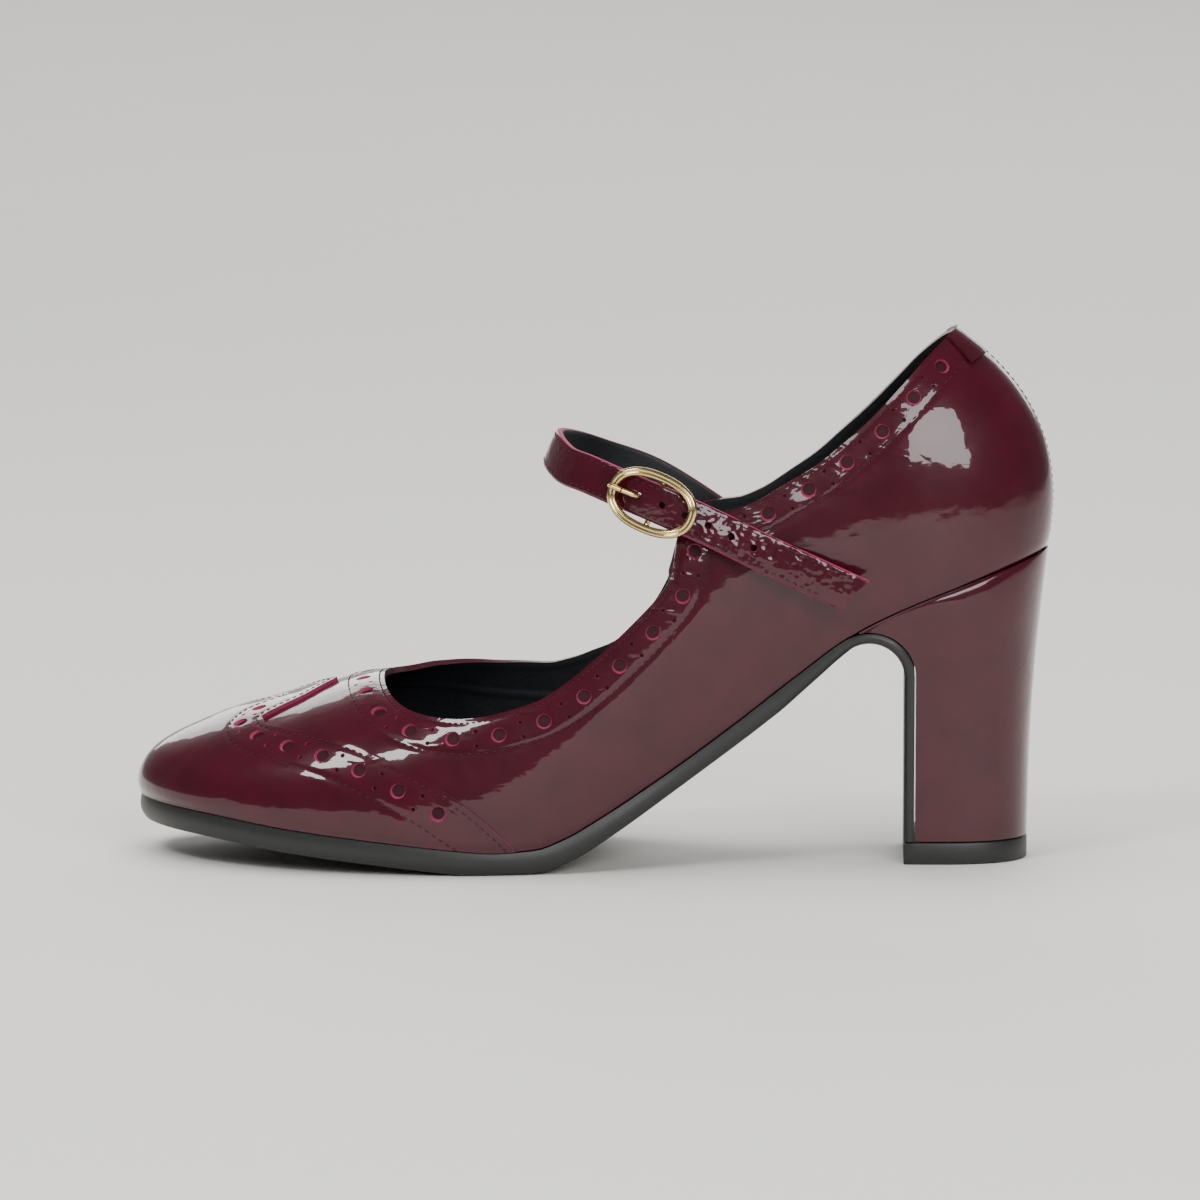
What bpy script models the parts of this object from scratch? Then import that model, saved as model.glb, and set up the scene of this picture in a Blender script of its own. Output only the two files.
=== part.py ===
"""A left mary jane pump with a perforated wingtip, a buckled instep strap and a high block heel.

The toe points along -X, the outer side with the buckle is -Y, and Z is up. Metres throughout.
Everything that touches the last is worked out from one function, foot_surface, which gives the
outside of the upper at any station along the shoe and any height round the section.
"""
import math
from collections import namedtuple

import bmesh
import bpy
import numpy as np
from mathutils import Vector

# Driving sizes of the last
SHOE_LENGTH = 0.2275       # toe tip to heel seat along the featherline
BALL_WIDTH = 0.078         # across the ball of the foot
SEAT_RISE = 0.0726         # featherline at the back of the seat above the ball
TOE_SPRING = 0.0090        # featherline at the toe tip above the ball
INSTEP_HEIGHT = 0.0366     # throat above the featherline
COLLAR_RISE = 0.0546       # top of the back seam above the heel seat

# Driving sizes of the leather, the soles and the heel
WALL = 0.0015              # upper leather with its lining
OVERLAY = 0.0010           # thickness of the wingtip and of the back tab
OVERLAY_SEAT = 0.00045     # clearance of an overlay over the upper, for its wider facets
INSOLE_THICKNESS = 0.0020
BALL_SOLE = 0.0058         # outsole under the ball
SHANK_SOLE = 0.0044        # outsole along the shank
BREAST_SOLE = 0.0026       # outsole flap down the heel breast
TREAD_FLAT = 0.0004        # depth of the flat spot under the ball
SOLE_EDGE = 0.0012         # how far the underside is drawn in from the edge
LIFT_HEIGHT = 0.0055       # rubber top lift
LIFT_WIDTH = 0.0340
LIFT_LENGTH = 0.0284
GAP = 0.0003               # clearance between pieces that touch

# Driving sizes of the strap and the buckle
STRAP_WIDTH = 0.0095
STRAP_THICKNESS = 0.0017
END_SKEW = 0.0050          # slant of the strap's cut end
BUCKLE_LENGTH = 0.0230
BUCKLE_HEIGHT = 0.0154
BUCKLE_WIRE = 0.0020
BAR_WIRE = 0.0014
PRONG_WIRE = 0.0013
TAB_THICKNESS = 0.0012
TAB_WIDTH = 0.0070
HOLE_SPACING = 0.0062
STRAP_HOLE = 0.0022
LARGE_HOLE = 0.0038        # large perforations of the wingtip

# Mesh fineness
SECTION_ROWS = 11          # rows from the featherline to the topline
STATION_STEP = 0.34        # spacing of the sections, in rows of the station table
WINGTIP_ROWS = 18
WINGTIP_COLUMNS = 16       # on each side of the toe

Station = namedtuple(
    "Station", "spine_x spine_y outer_x outer_y inner_x inner_y outer_round inner_round "
    "outer_bulge inner_bulge low_bulge")

# Sections from the toe tip to the back seam. The x columns are shares of SHOE_LENGTH from the
# toe, the y columns shares of BALL_WIDTH. The outer and inner columns give the featherline.
STATIONS = (
    Station(0.116, 0.050, 0.000, 0.050, 0.000, 0.050, 2.40, 2.40, 0.03, 0.03, 0.00),
    Station(0.120, 0.050, 0.012, -0.096, 0.009, 0.188, 2.40, 2.40, 0.03, 0.03, 0.00),
    Station(0.134, 0.050, 0.048, -0.244, 0.040, 0.300, 2.38, 2.42, 0.03, 0.03, 0.00),
    Station(0.164, 0.050, 0.107, -0.365, 0.098, 0.390, 2.35, 2.45, 0.03, 0.03, 0.00),
    Station(0.230, 0.050, 0.191, -0.459, 0.186, 0.455, 2.32, 2.50, 0.03, 0.03, 0.00),
    Station(0.309, 0.045, 0.287, -0.503, 0.287, 0.478, 2.30, 2.60, 0.04, 0.04, 0.00),
    Station(0.393, 0.030, 0.384, -0.494, 0.384, 0.442, 2.25, 2.50, 0.07, 0.10, 0.00),
    Station(0.490, 0.005, 0.485, -0.436, 0.485, 0.359, 2.15, 2.30, 0.15, 0.26, 0.00),
    Station(0.591, -0.035, 0.591, -0.359, 0.591, 0.279, 2.10, 2.15, 0.28, 0.42, 0.00),
    Station(0.683, -0.030, 0.692, -0.318, 0.692, 0.256, 2.05, 2.05, 0.25, 0.38, 0.01),
    Station(0.753, -0.015, 0.789, -0.303, 0.789, 0.272, 2.00, 2.00, 0.16, 0.22, 0.02),
    Station(0.793, -0.004, 0.876, -0.297, 0.876, 0.290, 2.00, 2.00, 0.09, 0.10, 0.03),
    Station(0.808, 0.000, 0.947, -0.224, 0.947, 0.224, 2.00, 2.00, 0.05, 0.05, 0.04),
    Station(0.813, 0.000, 0.986, -0.122, 0.986, 0.122, 2.00, 2.00, 0.05, 0.05, 0.04),
    Station(0.815, 0.000, 1.000, 0.000, 1.000, 0.000, 2.00, 2.00, 0.05, 0.05, 0.04),
)
LAST_STATION = len(STATIONS) - 1

# Featherline along the shoe: share of SHOE_LENGTH, share of TOE_SPRING, share of SEAT_RISE
FEATHER = (
    (0.000, 1.00, 0.000), (0.072, 0.89, 0.000), (0.173, 0.58, 0.000), (0.285, 0.28, 0.000),
    (0.338, 0.13, 0.000), (0.368, 0.05, 0.000), (0.398, 0.00, 0.000), (0.443, 0.00, 0.008),
    (0.473, 0.00, 0.040), (0.510, 0.00, 0.104), (0.583, 0.00, 0.252), (0.657, 0.00, 0.420),
    (0.730, 0.00, 0.598), (0.779, 0.00, 0.712), (0.847, 0.00, 0.822), (0.918, 0.00, 0.908),
    (1.000, 0.00, 1.000),
)

# Crown of the closed section above the featherline: share of SHOE_LENGTH, share of
# INSTEP_HEIGHT, share of COLLAR_RISE. Behind the throat the crown is only the form's top.
CROWN = (
    (0.000, 0.400, 0.000), (0.063, 0.490, 0.000), (0.107, 0.600, 0.000), (0.173, 0.765, 0.000),
    (0.211, 0.875, 0.000), (0.265, 0.990, 0.000), (0.327, 1.000, 0.110), (0.415, 1.000, 0.355),
    (0.503, 1.000, 0.575), (0.591, 1.000, 0.740), (0.679, 1.000, 0.795), (0.767, 1.000, 0.720),
    (0.833, 1.000, 0.685), (0.917, 1.000, 0.560), (1.000, 1.000, 0.440),
)

# Topline: share of SHOE_LENGTH, share of the section's height on the outer and inner side
OUTER_TOPLINE = (
    (0.2699, 1.000), (0.2765, 0.950), (0.2905, 0.866), (0.3140, 0.772), (0.3380, 0.715),
    (0.3644, 0.670), (0.3900, 0.641), (0.4430, 0.608), (0.4967, 0.592), (0.5300, 0.589),
    (0.5610, 0.594), (0.5790, 0.606), (0.5886, 0.630), (0.5925, 0.679), (0.5950, 0.735),
    (0.6018, 0.780), (0.6170, 0.765), (0.6435, 0.700), (0.6670, 0.658), (0.6950, 0.636),
    (0.7415, 0.632), (0.7730, 0.646), (0.8048, 0.680), (0.8360, 0.740), (0.8677, 0.823),
    (0.8920, 0.885), (0.9000, 0.900),
)
INNER_TOPLINE = (
    (0.2699, 1.000), (0.2765, 0.990), (0.2905, 0.954), (0.3200, 0.900), (0.3460, 0.850),
    (0.3900, 0.740), (0.4255, 0.663), (0.4510, 0.610), (0.4905, 0.540), (0.5300, 0.490),
    (0.5560, 0.500), (0.5780, 0.545), (0.5900, 0.620), (0.5960, 0.692), (0.6060, 0.735),
    (0.6200, 0.715), (0.6400, 0.675), (0.6670, 0.625), (0.6950, 0.605), (0.7415, 0.615),
    (0.7730, 0.640), (0.8048, 0.680), (0.8360, 0.740), (0.8677, 0.823), (0.8920, 0.885),
    (0.9000, 0.900),
)
THROAT = OUTER_TOPLINE[0][0]
EAR = 0.5925               # front edge of the quarters' ears, share of SHOE_LENGTH

# Rear edge of the wingtip: share of the quarter turn from featherline to ridge, share of
# SHOE_LENGTH on the outer side and on the inner side
WINGTIP_EDGE = (
    (0.000, 0.422, 0.400), (0.204, 0.333, 0.320), (0.366, 0.263, 0.256), (0.475, 0.211, 0.207),
    (0.584, 0.166, 0.165), (0.650, 0.146, 0.146), (0.720, 0.141, 0.141), (0.800, 0.157, 0.157),
    (0.900, 0.192, 0.192), (1.000, 0.218, 0.218),
)

# Large holes of the wingtip: turn from featherline to ridge, share of SHOE_LENGTH
WINGTIP_HOLES = (
    (0.100, 0.338), (0.185, 0.295), (0.268, 0.252), (0.352, 0.211), (0.438, 0.172),
    (0.545, 0.137), (0.690, 0.116), (0.845, 0.134),
)

# Strap from its sewn end on the inner quarter, over the instep, to its free end. Each row gives
# the share of SHOE_LENGTH, the share of BALL_WIDTH from the middle, and the share of the
# section's height there.
INNER_ROOT = ((0.681, 0.430), (0.652, 0.545), (0.620, 0.690))
FREE_LOOP = (
    (0.562, 0.330, 0.957), (0.509, 0.276, 1.223), (0.474, 0.180, 1.428), (0.456, 0.000, 1.541),
    (0.472, -0.180, 1.420), (0.497, -0.276, 1.287), (0.534, -0.343, 1.094), (0.5705, -0.385, 0.925),
)
# Free end over the outer quarter: shares as above, and how far the strap stands off the leather
OUTER_RUN = (
    (0.633, 0.670, 0.0033), (0.684, 0.486, 0.0038), (0.731, 0.334, 0.0052), (0.783, 0.165, 0.0072),
)
BUCKLE_AT = 0.5705         # share of SHOE_LENGTH of the buckle's middle
PRONG_HOLE_AT = 0.5545     # share of SHOE_LENGTH of the hole that the prong is in
HOLE_COUNT = 6

OUTER = -1
INNER = 1


def smooth(rows, column, at):
    """Monotone cubic through column of the table's rows, whose first column is the key."""
    keys = np.array([row[0] for row in rows])
    values = np.array([row[column] for row in rows])
    steps = np.diff(keys)
    slopes = np.diff(values) / steps
    ends = np.zeros(len(keys))
    same_way = slopes[:-1] * slopes[1:] > 0
    weight_a = 2 * steps[1:] + steps[:-1]
    weight_b = steps[1:] + 2 * steps[:-1]
    safe_a = np.where(same_way, slopes[:-1], 1.0)
    safe_b = np.where(same_way, slopes[1:], 1.0)
    inner = (weight_a + weight_b) / (weight_a / safe_a + weight_b / safe_b)
    ends[1:-1] = np.where(same_way, inner, 0.0)
    ends[0] = slopes[0]
    ends[-1] = slopes[-1]
    at = np.clip(np.asarray(at, dtype=float), keys[0], keys[-1])
    cell = np.clip(np.searchsorted(keys, at, side="right") - 1, 0, len(keys) - 2)
    t = (at - keys[cell]) / steps[cell]
    return (values[cell] * (1 + 2 * t) * (1 - t) ** 2 + ends[cell] * steps[cell] * t * (1 - t) ** 2
            + values[cell + 1] * t * t * (3 - 2 * t) - ends[cell + 1] * steps[cell] * t * t * (1 - t))


def along(values, at, before, after):
    """Catmull-Rom through evenly spaced values, with the value before the first and after the last."""
    line = np.array([before, *values, after])
    at = np.asarray(at, dtype=float)
    cell = np.clip(np.floor(at).astype(int), 0, len(values) - 2)
    t = at - cell
    a, b, c, d = line[cell], line[cell + 1], line[cell + 2], line[cell + 3]
    return b + 0.5 * t * (c - a + t * (2 * a - 5 * b + 4 * c - d + t * (3 * (b - c) + d - a)))


def station_column(name, at):
    """One column of the station table at any station, level at both ends."""
    values = [getattr(row, name) for row in STATIONS]
    return along(values, at, values[1], values[-2])


def featherline(side, station):
    """Plan position of the featherline, as arrays x and y in metres."""
    here, there = ("outer", "inner") if side == OUTER else ("inner", "outer")
    parts = []
    for axis in ("_x", "_y"):
        values = [getattr(row, here + axis) for row in STATIONS]
        across = [getattr(row, there + axis) for row in STATIONS]
        parts.append(along(values, station, across[1], across[-2]))
    return (parts[0] - 0.5) * SHOE_LENGTH, parts[1] * BALL_WIDTH


def share_of_length(x):
    """Share of the shoe's length at x."""
    return np.asarray(x) / SHOE_LENGTH + 0.5


def feather_height(x):
    """Height of the featherline, and of the insole's underside, above the floor at x."""
    share = share_of_length(x)
    return BALL_SOLE + smooth(FEATHER, 1, share) * TOE_SPRING + smooth(FEATHER, 2, share) * SEAT_RISE


def feather_slope(x):
    """Angle of the featherline to the floor at x."""
    step = 0.0005
    return np.arctan2(feather_height(x + step) - feather_height(x - step), 2 * step)


def crown_height(x):
    """Height of the form's ridge above the floor at x."""
    share = share_of_length(x)
    return (feather_height(x) + smooth(CROWN, 1, share) * INSTEP_HEIGHT
            + smooth(CROWN, 2, share) * COLLAR_RISE)


def foot_surface(side, station, turn):
    """Outside of the upper at a station and a turn from 0 at the featherline to 1 at the ridge."""
    station, turn = np.broadcast_arrays(np.asarray(station, float), np.asarray(turn, float))
    angle = np.clip(turn, 0.0, 1.0) * math.pi / 2
    name = "outer" if side == OUTER else "inner"
    power = 2 / station_column(name + "_round", station)
    inward = (np.cos(angle).clip(0) ** power
              + station_column(name + "_bulge", station) * np.sin(2 * angle)
              + station_column("low_bulge", station) * np.sin(4 * angle))
    inward = np.where(turn >= 1.0, 0.0, inward)
    edge_x, edge_y = featherline(side, station)
    spine_x = (station_column("spine_x", station) - 0.5) * SHOE_LENGTH
    spine_y = station_column("spine_y", station) * BALL_WIDTH
    x = spine_x + (edge_x - spine_x) * inward
    y = spine_y + (edge_y - spine_y) * inward
    low = feather_height(edge_x)
    z = low + (crown_height(x) - low) * np.sin(angle) ** power
    return x, y, z


def topline_turn(side, station):
    """Turn at which the topline cuts the section at each station; 1 where the vamp is closed."""
    rows = OUTER_TOPLINE if side == OUTER else INNER_TOPLINE
    name = "outer" if side == OUTER else "inner"
    turns = np.linspace(0.05, 1.0, 700)
    result = []
    for place in np.atleast_1d(station):
        x, _, _ = foot_surface(side, place, turns)
        power = 2 / station_column(name + "_round", place)
        over = np.sin(turns * math.pi / 2) ** power - smooth(rows, 1, share_of_length(x))
        below = np.nonzero(over < 0)[0]
        spine = float(station_column("spine_x", place))
        if spine <= THROAT or len(below) == 0 or below[-1] == len(turns) - 1:
            result.append(1.0)
            continue
        low = below[-1]
        part = over[low] / (over[low] - over[low + 1])
        result.append(turns[low] + part * (turns[low + 1] - turns[low]))
    return np.array(result)


def station_of(share):
    """Station whose spine lies at a share of the shoe's length."""
    fine = np.linspace(0, LAST_STATION, 2801)
    return float(np.interp(share, station_column("spine_x", fine), fine))


def edge_station(x):
    """Station whose featherline lies at x, taken on the outer side."""
    fine = np.linspace(0, LAST_STATION, 2801)
    edge_x, _ = featherline(OUTER, fine)
    return float(np.interp(x, edge_x, fine))


def upper_stations():
    """Stations of the upper's sections, closer together at the throat and the ears."""
    throat = station_of(THROAT)
    ear = station_of(EAR)
    throat_steps = (0.0, 0.015, 0.04, 0.075, 0.12, 0.18, 0.26, 0.37, 0.52, 0.72)
    ear_steps = (-0.30, -0.15, -0.06, -0.025, 0.0, 0.02, 0.045, 0.08, 0.14, 0.25, 0.42)
    close = [throat + step for step in throat_steps] + [ear + step for step in ear_steps]
    count = round(LAST_STATION / STATION_STEP)
    regular = [
        place for place in np.linspace(0, LAST_STATION, count + 1)
        if min(abs(place - other) for other in close) > 0.6 * STATION_STEP
        and not throat < place < throat + throat_steps[-1]
    ]
    return np.array(sorted(regular + close))


def new_object(name, mesh, collection, material):
    """Object of its own for a mesh, with its material."""
    item = bpy.data.objects.new(name, mesh)
    item.data.materials.append(material)
    collection.objects.link(item)
    return item


def material(name, colour, roughness, metallic=0.0):
    """Principled material with a linear colour."""
    made = bpy.data.materials.new(name)
    made.use_nodes = True
    shader = made.node_tree.nodes["Principled BSDF"]
    shader.inputs["Base Color"].default_value = (*colour, 1.0)
    shader.inputs["Roughness"].default_value = roughness
    shader.inputs["Metallic"].default_value = metallic
    return made


def solidify(item, thickness, offset=-1.0):
    """Wall on the inner side of an open surface."""
    wall = item.modifiers.new("wall", "SOLIDIFY")
    wall.thickness = thickness
    wall.offset = offset
    wall.use_even_offset = False
    return item


def shaded_smooth(mesh, angle=40):
    """Round surfaces shaded smooth, edges sharper than the angle kept."""
    mesh.shade_smooth()
    mesh.set_sharp_from_angle(angle=math.radians(angle))


def surface_grid(columns, rows, place):
    """Grid of columns by rows whose vertices are put where place(column, row) says."""
    form = bmesh.new()
    bmesh.ops.create_grid(form, x_segments=columns - 1, y_segments=rows - 1, size=1.0)
    for vertex in form.verts:
        column = round((vertex.co.x + 1) / 2 * (columns - 1))
        row = round((vertex.co.y + 1) / 2 * (rows - 1))
        vertex.co = place(column, row)
    bmesh.ops.remove_doubles(form, verts=form.verts, dist=1e-6)
    bmesh.ops.dissolve_degenerate(form, edges=form.edges, dist=1e-7)
    return form


def facing_out(form):
    """Turn the faces of an open form so that most point away from its middle."""
    centre = sum((v.co for v in form.verts), Vector()) / len(form.verts)
    lean = sum(f.normal.dot(f.calc_center_median() - centre) * f.calc_area() for f in form.faces)
    if lean < 0:
        bmesh.ops.reverse_faces(form, faces=form.faces)


def both_sides(stations):
    """Columns round the shoe, from the back seam by the outer side and the toe to the back seam."""
    outer = [(OUTER, place) for place in stations[::-1]]
    inner = [(INNER, place) for place in stations[1:]]
    return outer + inner


def build_upper(collection, leather):
    """Hollow upper: the last's surface from the featherline to the topline, with its wall."""
    stations = upper_stations()
    columns = both_sides(stations)
    tops = {side: dict(zip(stations, topline_turn(side, stations))) for side in (OUTER, INNER)}
    rows = SECTION_ROWS + 1

    def place(column, row):
        side, station = columns[column]
        turn = tops[side][station] * row / SECTION_ROWS
        x, y, z = foot_surface(side, station, turn)
        return Vector((float(x), float(y), float(z)))

    form = surface_grid(len(columns), rows, place)
    bmesh.ops.recalc_face_normals(form, faces=form.faces)
    facing_out(form)
    mesh = bpy.data.meshes.new("upper")
    form.to_mesh(mesh)
    form.free()
    shaded_smooth(mesh, 60)
    return solidify(new_object("upper", mesh, collection, leather), WALL)


def outline_normal(side, station):
    """Plan normal of the featherline, pointing out of the shoe."""
    step = 0.02
    x0, y0 = featherline(side, max(station - step, 0.0))
    x1, y1 = featherline(side, min(station + step, LAST_STATION))
    along_x, along_y = float(x1 - x0), float(y1 - y0)
    length = math.hypot(along_x, along_y)
    return Vector((-along_y, along_x, 0)) / length * side


def outline_point(side, station, inset):
    """Plan point of the featherline, drawn in by inset."""
    x, y = featherline(side, station)
    if station <= 0:
        return Vector((float(x) + inset, float(y), 0))
    if station >= LAST_STATION:
        return Vector((float(x) - inset, float(y), 0))
    return Vector((float(x), float(y), 0)) - outline_normal(side, station) * inset


def loft(name, rings, collection, made_of, angle=35):
    """Closed body through rings of equally many points, capped at both ends."""
    form = bmesh.new()
    loops = [[form.verts.new(point) for point in ring] for ring in rings]
    count = len(rings[0])
    for first, second in zip(loops, loops[1:]):
        for i in range(count):
            j = (i + 1) % count
            form.faces.new((first[i], first[j], second[j], second[i]))
    for loop in (loops[0], loops[-1]):
        half = count // 2
        for i in range(half - 1):
            form.faces.new((loop[i], loop[i + 1], loop[count - 2 - i], loop[count - 1 - i]))
    bmesh.ops.remove_doubles(form, verts=form.verts, dist=1e-6)
    bmesh.ops.dissolve_degenerate(form, edges=form.edges, dist=1e-7)
    bmesh.ops.recalc_face_normals(form, faces=form.faces)
    mesh = bpy.data.meshes.new(name)
    form.to_mesh(mesh)
    form.free()
    shaded_smooth(mesh, angle)
    return new_object(name, mesh, collection, made_of)


ACROSS = (0.0, 0.06, 0.28, 0.5, 0.72, 0.94, 1.0)


def breast_line():
    """Where the outsole leaves the featherline, and the arc that turns it down the breast.

    Returns the station, the arc's centre x and z, its radius and its first angle.
    """
    start_x = 0.278 * SHOE_LENGTH
    slope = float(feather_slope(start_x))
    breast_x = breast_front() + BREAST_SOLE
    radius = (breast_x - start_x) / (1 + math.sin(slope))
    centre_x = start_x + radius * math.sin(slope)
    centre_z = float(feather_height(start_x)) - GAP - radius * math.cos(slope)
    return edge_station(start_x), centre_x, centre_z, radius, math.pi / 2 + slope


def heel_back():
    """Foot of the heel's back line."""
    return 0.4787 * SHOE_LENGTH


def breast_front():
    """Front of the outsole flap on the heel breast."""
    return heel_back() - LIFT_LENGTH - BREAST_SOLE


def heel_half_width(depth):
    """Half width of the heel at a depth from 0 under the seat to 1 at the top lift."""
    top = 0.297 * BALL_WIDTH
    return LIFT_WIDTH / 2 + (top - LIFT_WIDTH / 2) * (1 - depth) ** 1.9


def sole_thickness(x):
    """Outsole thickness square to its run, from the ball to the breast."""
    share = float(share_of_length(x))
    forepart = BALL_SOLE - GAP + TREAD_FLAT
    fade = min(max((share - 0.42) / 0.20, 0.0), 1.0)
    fade = fade * fade * (3 - 2 * fade)
    late = min(max((share - 0.70) / 0.08, 0.0), 1.0)
    shank = SHANK_SOLE + (BREAST_SOLE - SHANK_SOLE) * late
    return forepart + (shank - forepart) * fade


def build_outsole(collection, rubber):
    """Outsole from the toe along the shank and down the heel breast."""
    end, centre_x, centre_z, radius, first_angle = breast_line()
    rings = []
    stations = [place for place in upper_stations() if place < end - 0.1] + [end]
    for i, station in enumerate(stations):
        top = []
        under = []
        edges = [outline_point(side, station, 0.0) for side in (OUTER, INNER)]
        lows = [outline_point(side, station, SOLE_EDGE) for side in (OUTER, INNER)]
        if i == 0:
            lows = [lows[0], lows[0]]
        for share in ACROSS:
            point = edges[0].lerp(edges[1], share)
            point.z = float(feather_height(point.x)) - GAP
            top.append(point)
            point = lows[0].lerp(lows[1], share)
            lean = float(feather_slope(point.x))
            thick = sole_thickness(point.x)
            point.z = max(float(feather_height(point.x)) - GAP - thick * math.cos(lean), 0.0)
            point.x += thick * math.sin(lean)
            under.append(point)
        rings.append(top + under[::-1])
    edge = [outline_point(side, end, 0.0) for side in (OUTER, INNER)]
    floor = LIFT_HEIGHT + GAP
    turns = 7
    drops = 6
    for i in range(1, turns + drops + 1):
        if i <= turns:
            angle = first_angle * (1 - i / turns)
            outward = Vector((math.cos(angle), 0, math.sin(angle)))
            on_top = Vector((centre_x, 0, centre_z)) + outward * radius
        else:
            outward = Vector((1, 0, 0))
            share = (i - turns) / drops
            on_top = Vector((centre_x + radius, 0, centre_z + (floor - centre_z) * share))
        depth = (float(feather_height(0.278 * SHOE_LENGTH)) - on_top.z)
        depth = min(max(depth / (float(feather_height(0.278 * SHOE_LENGTH)) - floor), 0.0), 1.0)
        narrow = heel_half_width(depth)
        blend = min(i / turns, 1.0)
        outer = edge[0].y + (-narrow - edge[0].y) * blend
        inner = edge[1].y + (narrow - edge[1].y) * blend
        drawn_in = SOLE_EDGE * (1 - 0.5 * blend)
        top = []
        under = []
        for share in ACROSS:
            top.append(Vector((on_top.x, outer + (inner - outer) * share, on_top.z)))
            low_y = outer + drawn_in + (inner - outer - 2 * drawn_in) * share
            under.append(Vector((on_top.x, low_y, on_top.z)) - outward * BREAST_SOLE)
        rings.append(top + under[::-1])
    return loft("outsole", rings, collection, rubber)


def build_insole(collection, lining):
    """Sock on the outsole and the heel seat, inside the upper's wall."""
    inset = WALL + 2 * GAP
    rings = []
    for station in upper_stations():
        edges = [outline_point(side, station, inset) for side in (OUTER, INNER)]
        top = []
        under = []
        for share in ACROSS:
            point = edges[0].lerp(edges[1], share)
            point.z = float(feather_height(point.x))
            under.append(point)
            top.append(point + Vector((0, 0, INSOLE_THICKNESS)))
        rings.append(top + under[::-1])
    return loft("insole", rings, collection, lining)


def heel_ring(front, back, depth, first_station):
    """Ring of the heel at a depth: the front edge, then the outer side round to the inner side.

    The ring follows the heel seat at depth 0 and the top lift's rounded outline at depth 1.
    """
    seat_front = float(featherline(OUTER, first_station)[0])
    seat_back = 0.5 * SHOE_LENGTH
    blend = 1 - (1 - depth) ** 2.2
    sides = 12
    lines = []
    for side in (OUTER, INNER):
        line = []
        for i in range(sides + 1):
            station = first_station + (LAST_STATION - first_station) * i / sides
            x, y = featherline(side, station)
            x, y = float(x), float(y)
            t = min(max((x - seat_front) / (seat_back - seat_front), 0.0), 1.0)
            round_y = LIFT_WIDTH / 2 * max(1 - t ** 3.2, 0.0) ** (1 / 2.1) * side
            place = front.lerp(back, t)
            bow = (float(feather_height(x)) - GAP) - (
                front_seat_height(first_station)
                + (float(feather_height(seat_back)) - GAP - front_seat_height(first_station)) * t)
            place.z += bow * (1 - depth) ** 4
            place.y = y + (round_y - y) * blend
            line.append(place)
        lines.append(line)
    return lines


def front_seat_height(station):
    """Height of the heel seat at its front edge."""
    x = float(featherline(OUTER, station)[0])
    return float(feather_height(x)) - GAP


def build_heel(collection, leather, rubber):
    """Covered heel block, cut in front by the outsole's turn, and its rubber top lift."""
    _, centre_x, centre_z, radius, first_angle = breast_line()
    inner_radius = radius + GAP
    front_x = 0.293 * SHOE_LENGTH
    first_station = edge_station(front_x)
    seat_back = Vector((0.5 * SHOE_LENGTH, 0, float(feather_height(0.5 * SHOE_LENGTH)) - GAP))
    floor = LIFT_HEIGHT + GAP
    back_foot = Vector((heel_back(), 0, floor))
    start_angle = math.acos(min((front_x - centre_x) / inner_radius, 1.0))
    fronts = [Vector((front_x, 0, front_seat_height(first_station)))]
    arcs = 6
    for i in range(arcs + 1):
        angle = start_angle * (1 - i / arcs)
        fronts.append(Vector((centre_x + inner_radius * math.cos(angle), 0,
                              centre_z + inner_radius * math.sin(angle))))
    drops = 7
    for i in range(1, drops + 1):
        fronts.append(Vector((centre_x + inner_radius, 0, centre_z + (floor - centre_z) * i / drops)))
    rings = []
    levels = len(fronts) - 1
    for i, front in enumerate(fronts):
        depth = (i / levels) ** 1.3
        back = seat_back.lerp(back_foot, depth)
        back.x -= 0.0012 * math.sin(math.pi * depth)
        outer, inner = heel_ring(front, back, depth, first_station)
        rings.append(outer + inner[-2::-1])
    form = bmesh.new()
    loops = [[form.verts.new(point) for point in ring] for ring in rings]
    count = len(loops[0])
    for first, second in zip(loops, loops[1:]):
        for i in range(count):
            j = (i + 1) % count
            form.faces.new((first[i], first[j], second[j], second[i]))
    for loop in (loops[0], loops[-1]):
        for i in range(count // 2):
            ends = (loop[i], loop[i + 1], loop[count - 2 - i], loop[count - 1 - i])
            form.faces.new(tuple(dict.fromkeys(ends)))
    bmesh.ops.remove_doubles(form, verts=form.verts, dist=1e-6)
    bmesh.ops.recalc_face_normals(form, faces=form.faces)
    mesh = bpy.data.meshes.new("heel_block")
    form.to_mesh(mesh)
    form.free()
    shaded_smooth(mesh)
    block = new_object("heel_block", mesh, collection, leather)

    lift_ring = [Vector((point.x, point.y, 0)) for point in rings[-1]]
    front_row = breast_front()
    foot = [Vector((front_row, lift_ring[0].y, 0)), *lift_ring, Vector((front_row, lift_ring[-1].y, 0))]
    form = bmesh.new()
    low = form.faces.new([form.verts.new(point) for point in foot])
    made = bmesh.ops.extrude_face_region(form, geom=[low])
    moved = [item for item in made["geom"] if isinstance(item, bmesh.types.BMVert)]
    bmesh.ops.translate(form, verts=moved, vec=(0, 0, LIFT_HEIGHT))
    bmesh.ops.recalc_face_normals(form, faces=form.faces)
    mesh = bpy.data.meshes.new("top_lift")
    form.to_mesh(mesh)
    form.free()
    shaded_smooth(mesh)
    return block, new_object("top_lift", mesh, collection, rubber)


def clear_scene():
    """Start from an empty scene."""
    for item in list(bpy.data.objects):
        bpy.data.objects.remove(item, do_unlink=True)


def station_at(side, turn, share):
    """Station where the surface, at a turn, lies at a share of the shoe's length."""
    fine = np.linspace(0, LAST_STATION - 1, 1200)
    x, _, _ = foot_surface(side, fine, turn)
    return float(np.interp((share - 0.5) * SHOE_LENGTH, x, fine))


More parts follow.
